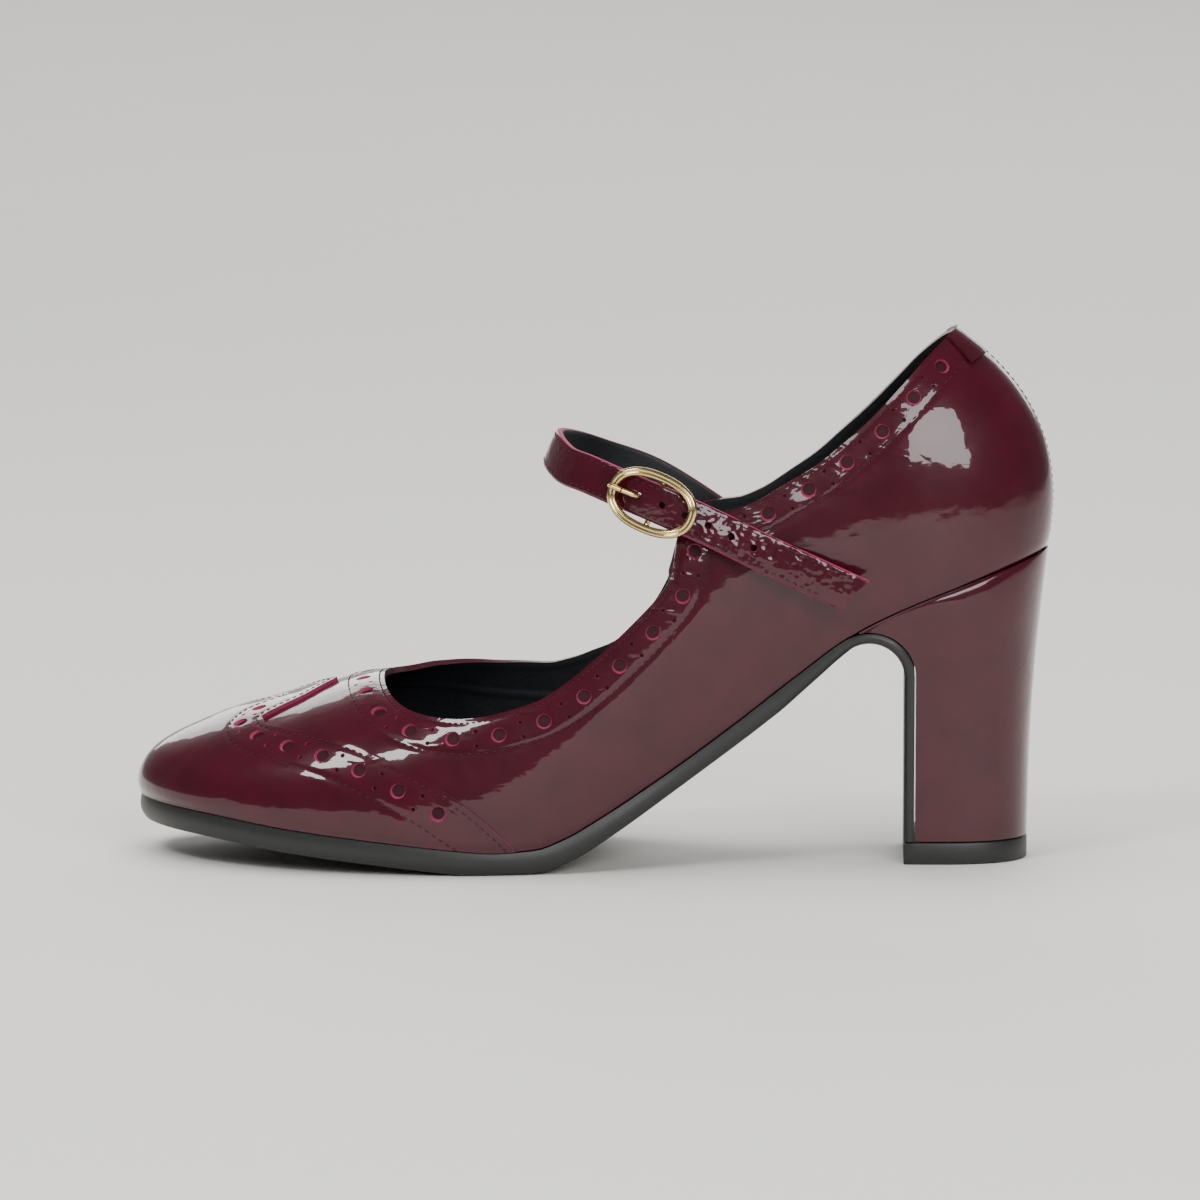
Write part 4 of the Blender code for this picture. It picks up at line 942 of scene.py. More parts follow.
def row_on(skin: BVHTree, line: Sequence[Vector], pitch: float) -> StitchRow:
    """Stitch row along a line on a surface."""
    points, normals = on_skin(skin, resample(line, pitch, pitch / 2))
    return StitchRow(points, normals, pitch)


@dataclass
class Upper:
    """Hollow upper: lacquered outside, lined inside, punched and stitched along its topline."""

    finishes: Finishes
    wall: float = 1.5 * MM
    rows: int = 70
    station_step: float = 0.085
    edge_stitch: float = 1.2 * MM       # edge row below the topline
    band_front: float = 9.2 * MM        # width of the collar band over the vamp
    band_rear: float = 7.7 * MM         # and along the quarters
    holes_front: float = 5.5 * MM       # middle of the large holes below the topline
    holes_rear: float = 4.3 * MM
    hole_pitch: float = 11.6 * MM
    large_hole: float = 1.9 * MM
    pinhole: float = 0.55 * MM
    hole_depth: float = 0.75 * MM
    creased_band: float = 8.5 * MM      # how far below the topline the film is creased
    tuck_reach: float = 0.9 * MM        # how far up the leather is drawn in at the sole
    tuck_depth: float = 0.35 * MM
    stitches: list[StitchRow] = field(default_factory=list)

    def build(self) -> bpy.types.Object:
        """Make the upper and keep its stitch rows."""
        form, topline = self.skin_form()
        skin = BVHTree.FromBMesh(form)
        edge_row = self.beside(skin, topline, self.edge_stitch, self.edge_stitch)
        band_row = self.beside(skin, topline, self.band_front, self.band_rear)
        holes_row = self.beside(skin, topline, self.holes_front, self.holes_rear)
        seam = self.back_seam(skin)
        large, small = self.perforations(skin, holes_row)
        self.mark_crinkles(form, topline)
        press(form, edge_row, 0.7 * MM, 0.10 * MM)
        press(form, band_row, 0.8 * MM, 0.22 * MM)
        press(form, seam, 0.6 * MM, 0.22 * MM)
        press(form, large, 2.4 * MM, 0.10 * MM)
        for crease in CREASES:
            self.crease(form, crease)
        self.tuck(form)
        skin = BVHTree.FromBMesh(form)
        self.stitches = [row_on(skin, edge_row, 1.5 * MM), row_on(skin, band_row, 2.1 * MM),
                         row_on(skin, [point + Vector((0, 1.3 * MM, 0)) for point in seam], 1.9 * MM)]
        punches = punches_on(skin, large, self.large_hole) + punches_on(skin, small, self.pinhole)
        skins = (self.finishes.patent, self.finishes.lining, self.finishes.edge_paint)
        item = make_object(form, "upper_skin", skins)
        add_wall(item, self.wall, 1, 2)
        cut_holes(item, punches, self.hole_depth, (self.finishes.raw_edge, self.finishes.hole_floor))
        return settle(item, Slot.PATENT, "upper")

    def skin_form(self) -> tuple[bmesh.types.BMesh, Line]:
        """The outside surface, and the topline from the back round the throat to the back."""
        stations = LAST.stations(self.station_step)
        share = np.linspace(0, 1, self.rows + 1)
        sheets = {}
        for side in Side:
            tops = LAST.topline_turn(side, stations)
            sheets[side] = LAST.surface(side, stations[:, None], tops[:, None] * share[None, :])
        form = two_sided(sheets, 4)
        throat = int(np.argmin(np.abs(stations - LAST.station_of(THROAT))))
        outer = [Vector(point) for point in sheets[Side.OUTER][throat:, -1].tolist()]
        inner = [Vector(point) for point in sheets[Side.INNER][throat + 1:, -1].tolist()]
        return form, resample(outer[::-1] + inner, 0.8 * MM)

    def beside(self, skin: BVHTree, topline: Line, front: float, rear: float) -> Line:
        """Line below the topline, further down over the vamp than along the quarters."""
        middle = LAST.x_of(EAR)

        def distance(point: Vector) -> float:
            share = min(max((point.x - (middle - 20 * MM)) / (40 * MM), 0.0), 1.0)
            return front + (rear - front) * share

        line = offset_line(skin, topline, distance)
        return on_skin(skin, resample(relaxed(line, 6), 0.5 * MM))[0]

    def back_seam(self, skin: BVHTree) -> Line:
        """Seam down the middle of the back."""
        turns = np.linspace(0.03, float(LAST.topline_turn(Side.OUTER, np.array([LAST_STATION]))[0]), 120)
        line = [Vector(point) for point in LAST.surface(Side.OUTER, LAST_STATION, turns).tolist()]
        return on_skin(skin, line)[0]

    def perforations(self, skin: BVHTree, row: Line) -> tuple[Line, Line]:
        """Large holes along the collar band, and pairs of pinholes between them."""
        lengths = lengths_of(row)
        middle = lengths[int(np.argmin([point.x for point in row]))]
        count = int(lengths[-1] / 2 / self.hole_pitch)
        large, small = [], []
        for i in range(-count, count):
            at = middle + (i + 0.5) * self.hole_pitch
            if 3 * MM < at < lengths[-1] - 3 * MM:
                large.append(point_at(row, lengths, at))
            between = at + self.hole_pitch / 2
            if 3 * MM < between < lengths[-1] - 3 * MM:
                small += self.pinhole_pair(skin, row, lengths, between)
        return large, small

    def pinhole_pair(self, skin: BVHTree, row: Line, lengths: Sequence[float], at: float) -> Line:
        """Two pinholes across the band."""
        here = point_at(row, lengths, at)
        run = (point_at(row, lengths, at + 1 * MM) - point_at(row, lengths, at - 1 * MM)).normalized()
        across = skin.find_nearest(here)[1].cross(run).normalized()
        return [here + across * 1.9 * MM, here - across * 1.9 * MM]

    def mark_crinkles(self, form: bmesh.types.BMesh, topline: Line) -> None:
        """Crease the film along the collar band and in the zones."""
        edge = tree_of(topline)
        zones = [(LAST.on_quarter(zone.side, zone.share, zone.height, 0.0)[0], zone)
                 for zone in CREASE_ZONES]

        def strength(point: Vector) -> float:
            found = math.exp(-(edge.find(point)[2] / self.creased_band) ** 4)
            for place, zone in zones:
                away = (point - place).length / zone.radius
                found = max(found, zone.strength * math.exp(-away * away))
            return found

        mark_creased(form, strength)

    def crease(self, form: bmesh.types.BMesh, crease: Crease) -> None:
        """Press one main crease."""
        ends = [LAST.on_quarter(crease.side, *end, 0.0)[0] for end in (crease.start, crease.end)]
        bend = (ends[1] - ends[0]).cross(Vector((0, 1, 0))) * 0.08
        points = []
        for i in range(25):
            t = i / 24
            points.append(ends[0].lerp(ends[1], t) + bend * math.sin(math.pi * t))
        skin = BVHTree.FromBMesh(form)
        press(form, on_skin(skin, points)[0], crease.width, crease.depth)

    def tuck(self, form: bmesh.types.BMesh) -> None:
        """Draw the lowest leather in under the edge."""
        for vertex in form.verts:
            above = vertex.co.z - float(LAST.feather_height(vertex.co.x))
            if above < 3 * MM:
                pull = self.tuck_depth * math.exp(-(above / self.tuck_reach) ** 2)
                away = Vector((vertex.normal.x, vertex.normal.y, 0))
                vertex.co -= away * pull


@dataclass
class Wingtip:
    """W-shaped toe overlay, raised off the vamp, with raw edges, holes and two stitch rows."""

    finishes: Finishes
    raise_by: float = 1.15 * MM
    thickness: float = 1.0 * MM
    rows: int = 110
    columns: int = 84                   # on each side
    rear_stitch: float = 1.6 * MM
    front_stitch: float = 10.4 * MM
    large_hole: float = 1.9 * MM
    pinhole: float = 0.6 * MM
    hole_depth: float = 0.75 * MM
    creased_band: float = 10 * MM       # how far from the rear edge the film is creased
    stitches: list[StitchRow] = field(default_factory=list)

    def build(self) -> bpy.types.Object:
        """Make the overlay and keep its stitch rows."""
        rows, limits = self.edge_rows()
        form, edge = self.skin_form(rows, limits)
        skin = BVHTree.FromBMesh(form)
        rear = on_skin(skin, relaxed(offset_line(skin, edge, lambda _: self.rear_stitch), 3))[0]
        front = on_skin(skin, relaxed(offset_line(skin, edge, lambda _: self.front_stitch), 12))[0]
        holes = [LAST.point(side, LAST.station_at(side, turn, share), turn)
                 for side in Side for turn, share in WINGTIP_HOLES]
        holes = on_skin(skin, holes)[0]
        small = self.pinholes(holes, edge)
        edge_tree = tree_of(edge)
        mark_creased(form, lambda place: 0.12 + 0.35 * math.exp(
            -(edge_tree.find(place)[2] / self.creased_band) ** 4))
        press(form, resample(rear, 0.5 * MM), 0.7 * MM, 0.14 * MM)
        press(form, resample(front, 0.5 * MM), 0.7 * MM, 0.18 * MM)
        press(form, holes, 2.4 * MM, 0.10 * MM)
        press(form, resample(edge, 0.5 * MM), 0.5 * MM, 0.12 * MM)
        skin = BVHTree.FromBMesh(form)
        self.stitches = [row_on(skin, rear, 2.0 * MM), row_on(skin, front, 2.1 * MM)]
        punches = punches_on(skin, holes, self.large_hole) + punches_on(skin, small, self.pinhole)
        item = make_object(form, "wingtip_skin", (self.finishes.patent, self.finishes.raw_edge))
        add_wall(item, self.thickness, 1, 1)
        cut_holes(item, punches, self.hole_depth, (self.finishes.raw_edge, self.finishes.hole_floor))
        return settle(item, Slot.PATENT, "wingtip")

    def edge_rows(self) -> tuple[np.ndarray, dict[Side, np.ndarray]]:
        """Turns evenly spaced along the rear edge, and the edge's station at each."""
        turns = np.linspace(0.0, 1.0, 601)
        edges = {}
        for side, column in ((Side.OUTER, 1), (Side.INNER, 2)):
            shares = smooth(WINGTIP_EDGE, column, turns)
            edges[side] = np.array([LAST.station_at(side, turn, share)
                                    for turn, share in zip(turns, shares)])
        line = LAST.surface(Side.OUTER, edges[Side.OUTER], turns)
        length = np.concatenate(([0.0], np.cumsum(np.linalg.norm(np.diff(line, axis=0), axis=1))))
        rows = np.interp(np.linspace(0, length[-1], self.rows + 1), length, turns)
        return rows, {side: np.interp(rows, turns, edges[side]) for side in edges}

    def skin_form(self, rows: np.ndarray, limits: dict[Side, np.ndarray]
                  ) -> tuple[bmesh.types.BMesh, Line]:
        """The overlay's outside, and its rear edge from the outer side over the ridge."""
        shares = np.linspace(0, 1, self.columns + 1)
        sheets = {side: LAST.surface(side, shares[:, None] * limits[side][None, :], rows[None, :])
                  for side in Side}
        form = two_sided(sheets, 8)
        moves = []
        for vertex in form.verts:
            above = vertex.co.z - float(LAST.feather_height(vertex.co.x))
            lift = self.raise_by - 0.65 * MM * math.exp(-(above / (1.6 * MM)) ** 2)
            moves.append(vertex.normal * lift)
        for vertex, move in zip(form.verts, moves):
            vertex.co += move
        form.normal_update()
        outer = [Vector(point) for point in sheets[Side.OUTER][-1].tolist()]
        inner = [Vector(point) for point in sheets[Side.INNER][-1][::-1].tolist()]
        skin = BVHTree.FromBMesh(form)
        return form, on_skin(skin, resample(outer + inner[1:], 0.8 * MM))[0]

    def pinholes(self, holes: Line, edge: Line) -> Line:
        """Pairs of pinholes across the band, halfway between neighbouring large holes."""
        found = []
        tree = tree_of(edge)
        half = len(WINGTIP_HOLES)
        for start in (0, half):
            row = holes[start:start + half]
            for first, second in zip(row, row[1:]):
                middle = (first + second) / 2
                towards = (tree.find(middle)[0] - middle).normalized()
                found += [middle + towards * 2.0 * MM, middle - towards * 2.0 * MM]
        return found


@dataclass
class BackTab:
    """Small overlay across the top of the back seam."""

    finishes: Finishes
    raise_by: float = 0.75 * MM
    thickness: float = 0.6 * MM
    reach: float = 11 * MM
    height: float = 9 * MM
    columns: int = 48
    rows: int = 18

    def build(self) -> bpy.types.Object:
        """Make the tab."""
        stations = np.linspace(LAST.edge_station(LAST.length / 2 - self.reach * 0.72), LAST_STATION,
                               self.columns // 2)
        sheets = {}
        for side in Side:
            tops = LAST.topline_turn(side, stations)
            low = tops * (1 - 0.165 * self.height / (9 * MM))
            share = np.linspace(0, 1, self.rows)
            sheets[side] = LAST.surface(side, stations[:, None],
                                        low[:, None] + (tops - low)[:, None] * share[None, :])
        form = two_sided({side: sheet[::-1] for side, sheet in sheets.items()}, 3)
        for vertex, move in [(v, v.normal * self.raise_by) for v in form.verts]:
            vertex.co += move
        mark_creased(form, lambda _: 0.3)
        item = make_object(form, "back_tab_skin", (self.finishes.patent, self.finishes.edge_paint))
        add_wall(item, self.thickness, 1, 1)
        apply_modifiers(item)
        return settle(item, Slot.PATENT, "back_tab")


# Shares of the way across a sole, closer together at its edges
ACROSS = tuple(0.5 - 0.5 * math.cos(math.pi * i / 20) for i in range(21))


@dataclass
class Heel:
    """Covered block heel with its rubber top lift, behind the outsole's breast."""

    finishes: Finishes
    lift_height: float = 5.5 * MM
    lift_width: float = 34.0 * MM
    lift_length: float = 28.4 * MM
    flap: float = 2.6 * MM              # outsole down the breast
    seat_width_share: float = 0.297     # half width under the seat, share of the ball width
    back_share: float = 0.4787          # foot of the back line, share of the length
    sole_leaves_at: float = 0.278       # where the outsole leaves the featherline
    seat_starts_at: float = 0.293       # front of the heel's seat
    back_bow: float = 1.2 * MM          # hollow of the back line
    flare: float = 1.9                  # power of the widening towards the seat
    change: float = 2.2                 # power of the change from seat to top lift
    lift_round: float = 3.2             # power of the top lift's round back, along it
    lift_square: float = 2.1            # and across it
    sides: int = 44
    arcs: int = 22
    drops: int = 24

    @property
    def back(self) -> float:
        """Foot of the heel's back line."""
        return self.back_share * LAST.length

    @property
    def breast(self) -> float:
        """Front of the outsole flap on the heel breast."""
        return self.back - self.lift_length - self.flap

    def turn_down(self) -> tuple[float, float, float, float, float]:
        """Station where the outsole turns down, the arc's centre, radius and first angle."""
        start_x = self.sole_leaves_at * LAST.length
        slope = LAST.feather_slope(start_x)
        radius = (self.breast + self.flap - start_x) / (1 + math.sin(slope))
        centre_x = start_x + radius * math.sin(slope)
        centre_z = float(LAST.feather_height(start_x)) - CLEARANCE - radius * math.cos(slope)
        return LAST.edge_station(start_x), centre_x, centre_z, radius, math.pi / 2 + slope

    def half_width(self, depth: float) -> float:
        """Half width at a depth from 0 under the seat to 1 at the top lift."""
        top = self.seat_width_share * LAST.ball_width
        return self.lift_width / 2 + (top - self.lift_width / 2) * (1 - depth) ** self.flare

    def ring(self, front: Vector, back: Vector, depth: float, first: float) -> list[Line]:
        """Outer and inner half of the heel's outline at a depth, from its front edge back."""
        seat_front = float(LAST.featherline(Side.OUTER, first)[0])
        seat_back = LAST.length / 2
        blend = 1 - (1 - depth) ** self.change
        low_front = float(LAST.feather_height(seat_front))
        low_back = float(LAST.feather_height(seat_back))
        halves = []
        for side in Side:
            line = []
            for i in range(self.sides + 1):
                station = first + (LAST_STATION - first) * i / self.sides
                x, y = (float(v) for v in LAST.featherline(side, station))
                t = min(max((x - seat_front) / (seat_back - seat_front), 0.0), 1.0)
                rounding = max(1 - t ** self.lift_round, 0.0) ** (1 / self.lift_square)
                round_y = self.lift_width / 2 * rounding * side.value
                place = front.lerp(back, t)
                bow = float(LAST.feather_height(x)) - (low_front + (low_back - low_front) * t)
                place.z += bow * (1 - depth) ** 4
                place.y = y + (round_y - y) * blend
                line.append(place)
            halves.append(line)
        return halves

    def rings(self) -> list[list[Line]]:
        """Outlines from the seat down the breast to the top lift."""
        _, centre_x, centre_z, radius, _ = self.turn_down()
        radius += CLEARANCE
        front_x = self.seat_starts_at * LAST.length
        first = LAST.edge_station(front_x)
        seat_z = float(LAST.feather_height(LAST.length / 2)) - CLEARANCE
        floor = self.lift_height + CLEARANCE
        edge_x = float(LAST.featherline(Side.OUTER, first)[0])
        fronts = [Vector((front_x, 0, float(LAST.feather_height(edge_x)) - CLEARANCE))]
        start = math.acos(min((front_x - centre_x) / radius, 1.0))
        for i in range(self.arcs + 1):
            angle = start * (1 - i / self.arcs)
            fronts.append(Vector((centre_x + radius * math.cos(angle), 0,
                                  centre_z + radius * math.sin(angle))))
        for i in range(1, self.drops + 1):
            fronts.append(Vector((centre_x + radius, 0,
                                  centre_z + (floor - centre_z) * i / self.drops)))
        found = []
        for front in fronts:
            depth = min(max((fronts[0].z - front.z) / (fronts[0].z - floor), 0.0), 1.0)
            depth = depth ** 1.05
            back = Vector((LAST.length / 2, 0, seat_z)).lerp(Vector((self.back, 0, floor)), depth)
            back.x -= self.back_bow * math.sin(math.pi * depth)
            found.append(self.ring(front, back, depth, first))
        return found

    def build(self) -> None:
        """Make the covered block and the top lift."""
        rings = self.rings()
        form = capped([outer + inner[-2::-1] for outer, inner in rings])
        creased_at = rings[0][0][0].z - 8.1 * MM
        mark_creased(form, lambda place: 0.55 * math.exp(-((creased_at - place.z) / (9 * MM)) ** 2))
        block = make_object(form, "heel_cover", (self.finishes.patent,))
        settle(block, Slot.PATENT, "heel_block")
        self.build_lift(rings[-1])

    def build_lift(self, lowest: list[Line]) -> None:
        """Make the rubber lift under the block and the breast flap."""
        outer, inner = lowest
        outline = [Vector((self.breast, outer[0].y, 0))] + [Vector((p.x, p.y, 0)) for p in outer]
        outline += [Vector((p.x, p.y, 0)) for p in inner[-2::-1]]
        outline.append(Vector((self.breast, inner[0].y, 0)))
        form = bmesh.new()
        base = form.faces.new([form.verts.new(point) for point in outline])
        made = bmesh.ops.extrude_face_region(form, geom=[base])
        moved = [part for part in made["geom"] if isinstance(part, bmesh.types.BMVert)]
        bmesh.ops.translate(form, verts=moved, vec=(0, 0, self.lift_height))
        bmesh.ops.recalc_face_normals(form, faces=form.faces)
        rims = [edge for edge in form.edges if len(edge.link_faces) == 2
                and edge.calc_face_angle() > math.radians(60)]
        bmesh.ops.bevel(form, geom=rims, offset=0.35 * MM, offset_type="OFFSET", segments=2,
                        profile=0.5, affect="EDGES", material=-1)
        settle(make_object(form, "top_lift_rubber", (self.finishes.rubber,), 50), Slot.RUBBER,
               "top_lift")


@dataclass
class Outsole:
    """Rubber outsole along the forepart and shank, turned down the heel breast."""

    finishes: Finishes
    heel: Heel
    shank: float = 4.4 * MM
    tread_flat: float = 0.4 * MM
    drawn_in: float = 1.2 * MM          # how far the underside lies inside the edge
    bulge: float = 0.45 * MM            # roundness of the edge
    station_step: float = 0.09
    turns: int = 26
    drops: int = 10

    def thickness(self, x: float) -> float:
        """Thickness square to the sole's run."""
        share = float(LAST.share(x))
        forepart = LAST.ball_sole - CLEARANCE + self.tread_flat
        fade = min(max((share - 0.42) / 0.20, 0.0), 1.0)
        fade = fade * fade * (3 - 2 * fade)
        late = min(max((share - 0.70) / 0.08, 0.0), 1.0)
        shank = self.shank + (self.heel.flap - self.shank) * late
        return forepart + (shank - forepart) * fade

    def ring(self, edges: list[Vector], lows: list[Vector], top_at: Callable[[Vector], Vector],
             low_at: Callable[[Vector], Vector], outward: Sequence[Vector]) -> Line:
        """One closed outline: the top, the inner edge, the underside and the outer edge."""
        top = [top_at(edges[0].lerp(edges[1], share)) for share in ACROSS]
        under = [low_at(lows[0].lerp(lows[1], share)) for share in ACROSS]
        wall = (0.08, 0.22, 0.4, 0.6, 0.78, 0.92)

        def side_wall(first: Vector, second: Vector, out: Vector) -> Line:
            return [first.lerp(second, t)
                    + out * (self.bulge * math.sin(math.pi * t) + self.drawn_in * (t - t ** 4) * 0.9)
                    for t in wall]

        inner = side_wall(top[-1], under[-1], outward[1])
        outer = side_wall(top[0], under[0], outward[0])
        return top + inner + under[::-1] + outer[::-1]

    def build(self) -> bpy.types.Object:
        """Make the outsole."""
        end, centre_x, centre_z, radius, first_angle = self.heel.turn_down()
        stations = [place for place in LAST.stations(self.station_step) if place < end - 0.05] + [end]
        rings = []

        def on_top(point: Vector) -> Vector:
            return Vector((point.x, point.y, float(LAST.feather_height(point.x)) - CLEARANCE))

        def underneath(point: Vector) -> Vector:
            lean = LAST.feather_slope(point.x)
            thick = self.thickness(point.x)
            z = float(LAST.feather_height(point.x)) - CLEARANCE - thick * math.cos(lean)
            return Vector((point.x + thick * math.sin(lean), point.y, max(z, 0.0)))

        for station in stations:
            edges = [LAST.outline_point(side, station, 0.0) for side in Side]
            lows = [LAST.outline_point(side, station, self.drawn_in) for side in Side]
            outward = [(edge - low).normalized() for edge, low in zip(edges, lows)]
            rings.append(self.ring(edges, lows, on_top, underneath, outward))
        edge = [LAST.outline_point(side, end, 0.0) for side in Side]
        floor = self.heel.lift_height + CLEARANCE
        highest = float(LAST.feather_height(self.heel.sole_leaves_at * LAST.length))
        sides = [Vector((0, -1, 0)), Vector((0, 1, 0))]
        for i in range(1, self.turns + self.drops + 1):
            if i <= self.turns:
                angle = first_angle * (1 - i / self.turns)
                away = Vector((math.cos(angle), 0, math.sin(angle)))
                middle = Vector((centre_x, 0, centre_z)) + away * radius
            else:
                away = Vector((1, 0, 0))
                share = (i - self.turns) / self.drops
                middle = Vector((centre_x + radius, 0, centre_z + (floor - centre_z) * share))
            depth = min(max((highest - middle.z) / (highest - floor), 0.0), 1.0)
            narrow = self.heel.half_width(depth)
            blend = min(i / self.turns, 1.0)
            ends = [edge[0].y + (-narrow - edge[0].y) * blend, edge[1].y + (narrow - edge[1].y) * blend]
            inset = self.drawn_in * (1 - 0.5 * blend)
            tops = [Vector((middle.x, y, middle.z)) for y in ends]
            lows = [Vector((middle.x, y + inset * sign, middle.z)) - away * self.heel.flap
                    for y, sign in zip(ends, (1, -1))]
            rings.append(self.ring(tops, lows, Vector, Vector, sides))
        form = capped(rings)
        return settle(make_object(form, "outsole_rubber", (self.finishes.rubber,), 50), Slot.RUBBER,
                      "outsole")


@dataclass
class Insole:
    """Black sock inside the shoe."""

    finishes: Finishes
    wall: float = 1.5 * MM
    thickness: float = 2.0 * MM
    station_step: float = 0.10

    def build(self) -> bpy.types.Object:
        """Make the sock, its middle hollowed a little by the foot."""
        inset = self.wall + 2 * CLEARANCE
        rings = []
        for station in LAST.stations(self.station_step):
            edges = [LAST.outline_point(side, station, inset) for side in Side]
            top, under = [], []
            for share in ACROSS:
                point = edges[0].lerp(edges[1], share)
                point.z = float(LAST.feather_height(point.x))
                hollow = 0.5 * MM * math.sin(math.pi * share)
                under.append(point)
                top.append(point + Vector((0, 0, self.thickness - hollow)))
            rings.append(top + under[::-1])
        form = capped(rings)
        return settle(make_object(form, "insole_sock", (self.finishes.lining,), 50), Slot.LINING,
                      "insole")


class StrapFrame(NamedTuple):
    """A place on the strap: its middle, run, width direction and outward normal."""

    place: Vector
    run: Vector
    wide: Vector
    normal: Vector
    distance: float


@dataclass
class Strap:
    """Instep strap: lacquered face, raw edges, black back, punched holes and two stitch rows."""

    finishes: Finishes
    width: float = 9.5 * MM
    thickness: float = 1.7 * MM
    skew: float = 5.0 * MM
    hole: float = 0.95 * MM
    hole_spacing: float = 6.2 * MM
    hole_count: int = 6
    prong_hole_at: float = 0.5545
    buckle_at: float = 0.5705
    stitch_inset: float = 1.25 * MM
    stitches: list[StitchRow] = field(default_factory=list)

    def __post_init__(self) -> None:
        """Work out the strap's middle line and where it faces."""
        half = self.thickness / 2
        points, normals = [], []
        for share, height in INNER_ROOT:
            point, normal = LAST.on_quarter(Side.INNER, share, height, 2 * CLEARANCE + half)
            points.append(point)
            normals.append(normal)
        for row in FREE_LOOP:
            points.append(LAST.section_point(*row))
            normals.append(None)
        for share, height, stand_off in OUTER_RUN:
            point, normal = LAST.on_quarter(Side.OUTER, share, height, stand_off)
            points.append(point)
            normals.append(normal)
        upright = Vector((0.40, 0, 0.917))
        for i, normal in enumerate(normals):
            if normal is None:
                run = (points[i + 1] - points[i - 1]).normalized()
                normals[i] = run.cross(upright).normalized()
        steps = 36
        count = (len(points) - 1) * steps + 1
        self.line = relaxed([spline(points, i / steps) for i in range(count)], 60)
        self.faces = relaxed([spline(normals, i / steps).normalized() for i in range(count)], 60)
        self.lengths = lengths_of(self.line)

    def frame_at(self, distance: float) -> StrapFrame:
        """The strap's frame at a distance along it."""
        place = point_at(self.line, self.lengths, distance)
        run = (point_at(self.line, self.lengths, distance + 0.5 * MM)
               - point_at(self.line, self.lengths, distance - 0.5 * MM)).normalized()
        normal = point_at(self.faces, self.lengths, distance)
        normal = (normal - run * normal.dot(run)).normalized()
        wide = run.cross(normal).normalized()
        if wide.z < 0:
            wide.negate()
        return StrapFrame(place, run, wide, normal, distance)

    def distance_at(self, share: float) -> float:
        """Distance along the strap where its outer half passes a share of the length."""
        x = LAST.x_of(share)
        for i in range(1, len(self.line)):
            before, after = self.line[i - 1], self.line[i]
            if after.y < 0 and before.x <= x < after.x:
                t = (x - before.x) / (after.x - before.x)
                return self.lengths[i - 1] + t * (self.lengths[i] - self.lengths[i - 1])
        raise ValueError("the strap doesn't pass that share of the length")

    def build(self) -> bpy.types.Object:
        """Make the strap and keep its stitch rows."""
        pitch = 0.5 * MM
        count = int(self.lengths[-1] / pitch)
        frames = [self.frame_at(self.lengths[-1] * i / count) for i in range(count + 1)]
        self.crinkle_from = self.distance_at(self.buckle_at)
        section = strip_section(self.width, self.thickness, 0.22 * MM)
        form = sweep([f.place for f in frames], [f.normal for f in frames], section, skew=self.skew)
        mark_creased(form, lambda _: 1.0)
        tree = tree_of([f.place for f in frames])
        for vertex in form.verts:
            _, index, _ = tree.find(vertex.co)
            here = frames[index]
            height = (vertex.co - here.place).dot(here.normal)
            if height > 0.5 * self.thickness / 2:
                free = min(max((here.distance - self.crinkle_from) / (12 * MM), 0.35), 1.0)
                vertex.co += here.normal * self.crinkle(vertex.co) * free
        for face in form.faces:
            centre = face.calc_center_median()
            here = frames[tree.find(centre)[1]]
            height = (centre - here.place).dot(here.normal)
            across = abs((centre - here.place).dot(here.wide))
            if height < -0.30 * self.thickness:
                face.material_index = 1
            elif across > self.width / 2 - 0.22 * MM and height < 0.42 * self.thickness:
                face.material_index = 2
        self.stitches = self.edge_rows(frames)
        start = self.distance_at(self.prong_hole_at)
        punches = []
        for i in range(self.hole_count):
            here = self.frame_at(start + i * self.hole_spacing)
            punches.append(Punch(here.place + here.normal * self.thickness / 2, here.normal, self.hole))
        skins = (self.finishes.patent, self.finishes.lining, self.finishes.raw_edge)
        item = make_object(form, "strap_leather", skins, 50)
        cut_holes(item, punches, self.thickness * 1.6, (self.finishes.raw_edge,
                                                        self.finishes.hole_floor))
        return settle(item, Slot.PATENT, "strap")

    def crinkle(self, place: Vector) -> float:
        """Height of the crinkled film at a place."""
        coarse = noise.noise(place / (3.2 * MM))
        fine = 1 - abs(noise.noise(place / (1.5 * MM))) * 2
        return 0.13 * MM * coarse + 0.15 * MM * fine

    def edge_rows(self, frames: Sequence[StrapFrame]) -> list[StitchRow]:
        """Stitch rows along both edges of the face."""
        rows = []
        pitch = 1.9 * MM
        reach = self.width / 2 - self.stitch_inset
        for sign in (-1, 1):
            points, normals = [], []
            count = int((self.lengths[-1] - 6 * MM) / pitch)
            for i in range(1, count):
                here = self.frame_at(i * pitch + 1 * MM)
                points.append(here.place + here.wide * reach * sign
                              + here.normal * (self.thickness / 2 + 0.10 * MM))
                normals.append(here.normal)
            rows.append(StitchRow(points, normals, pitch))
        return rows


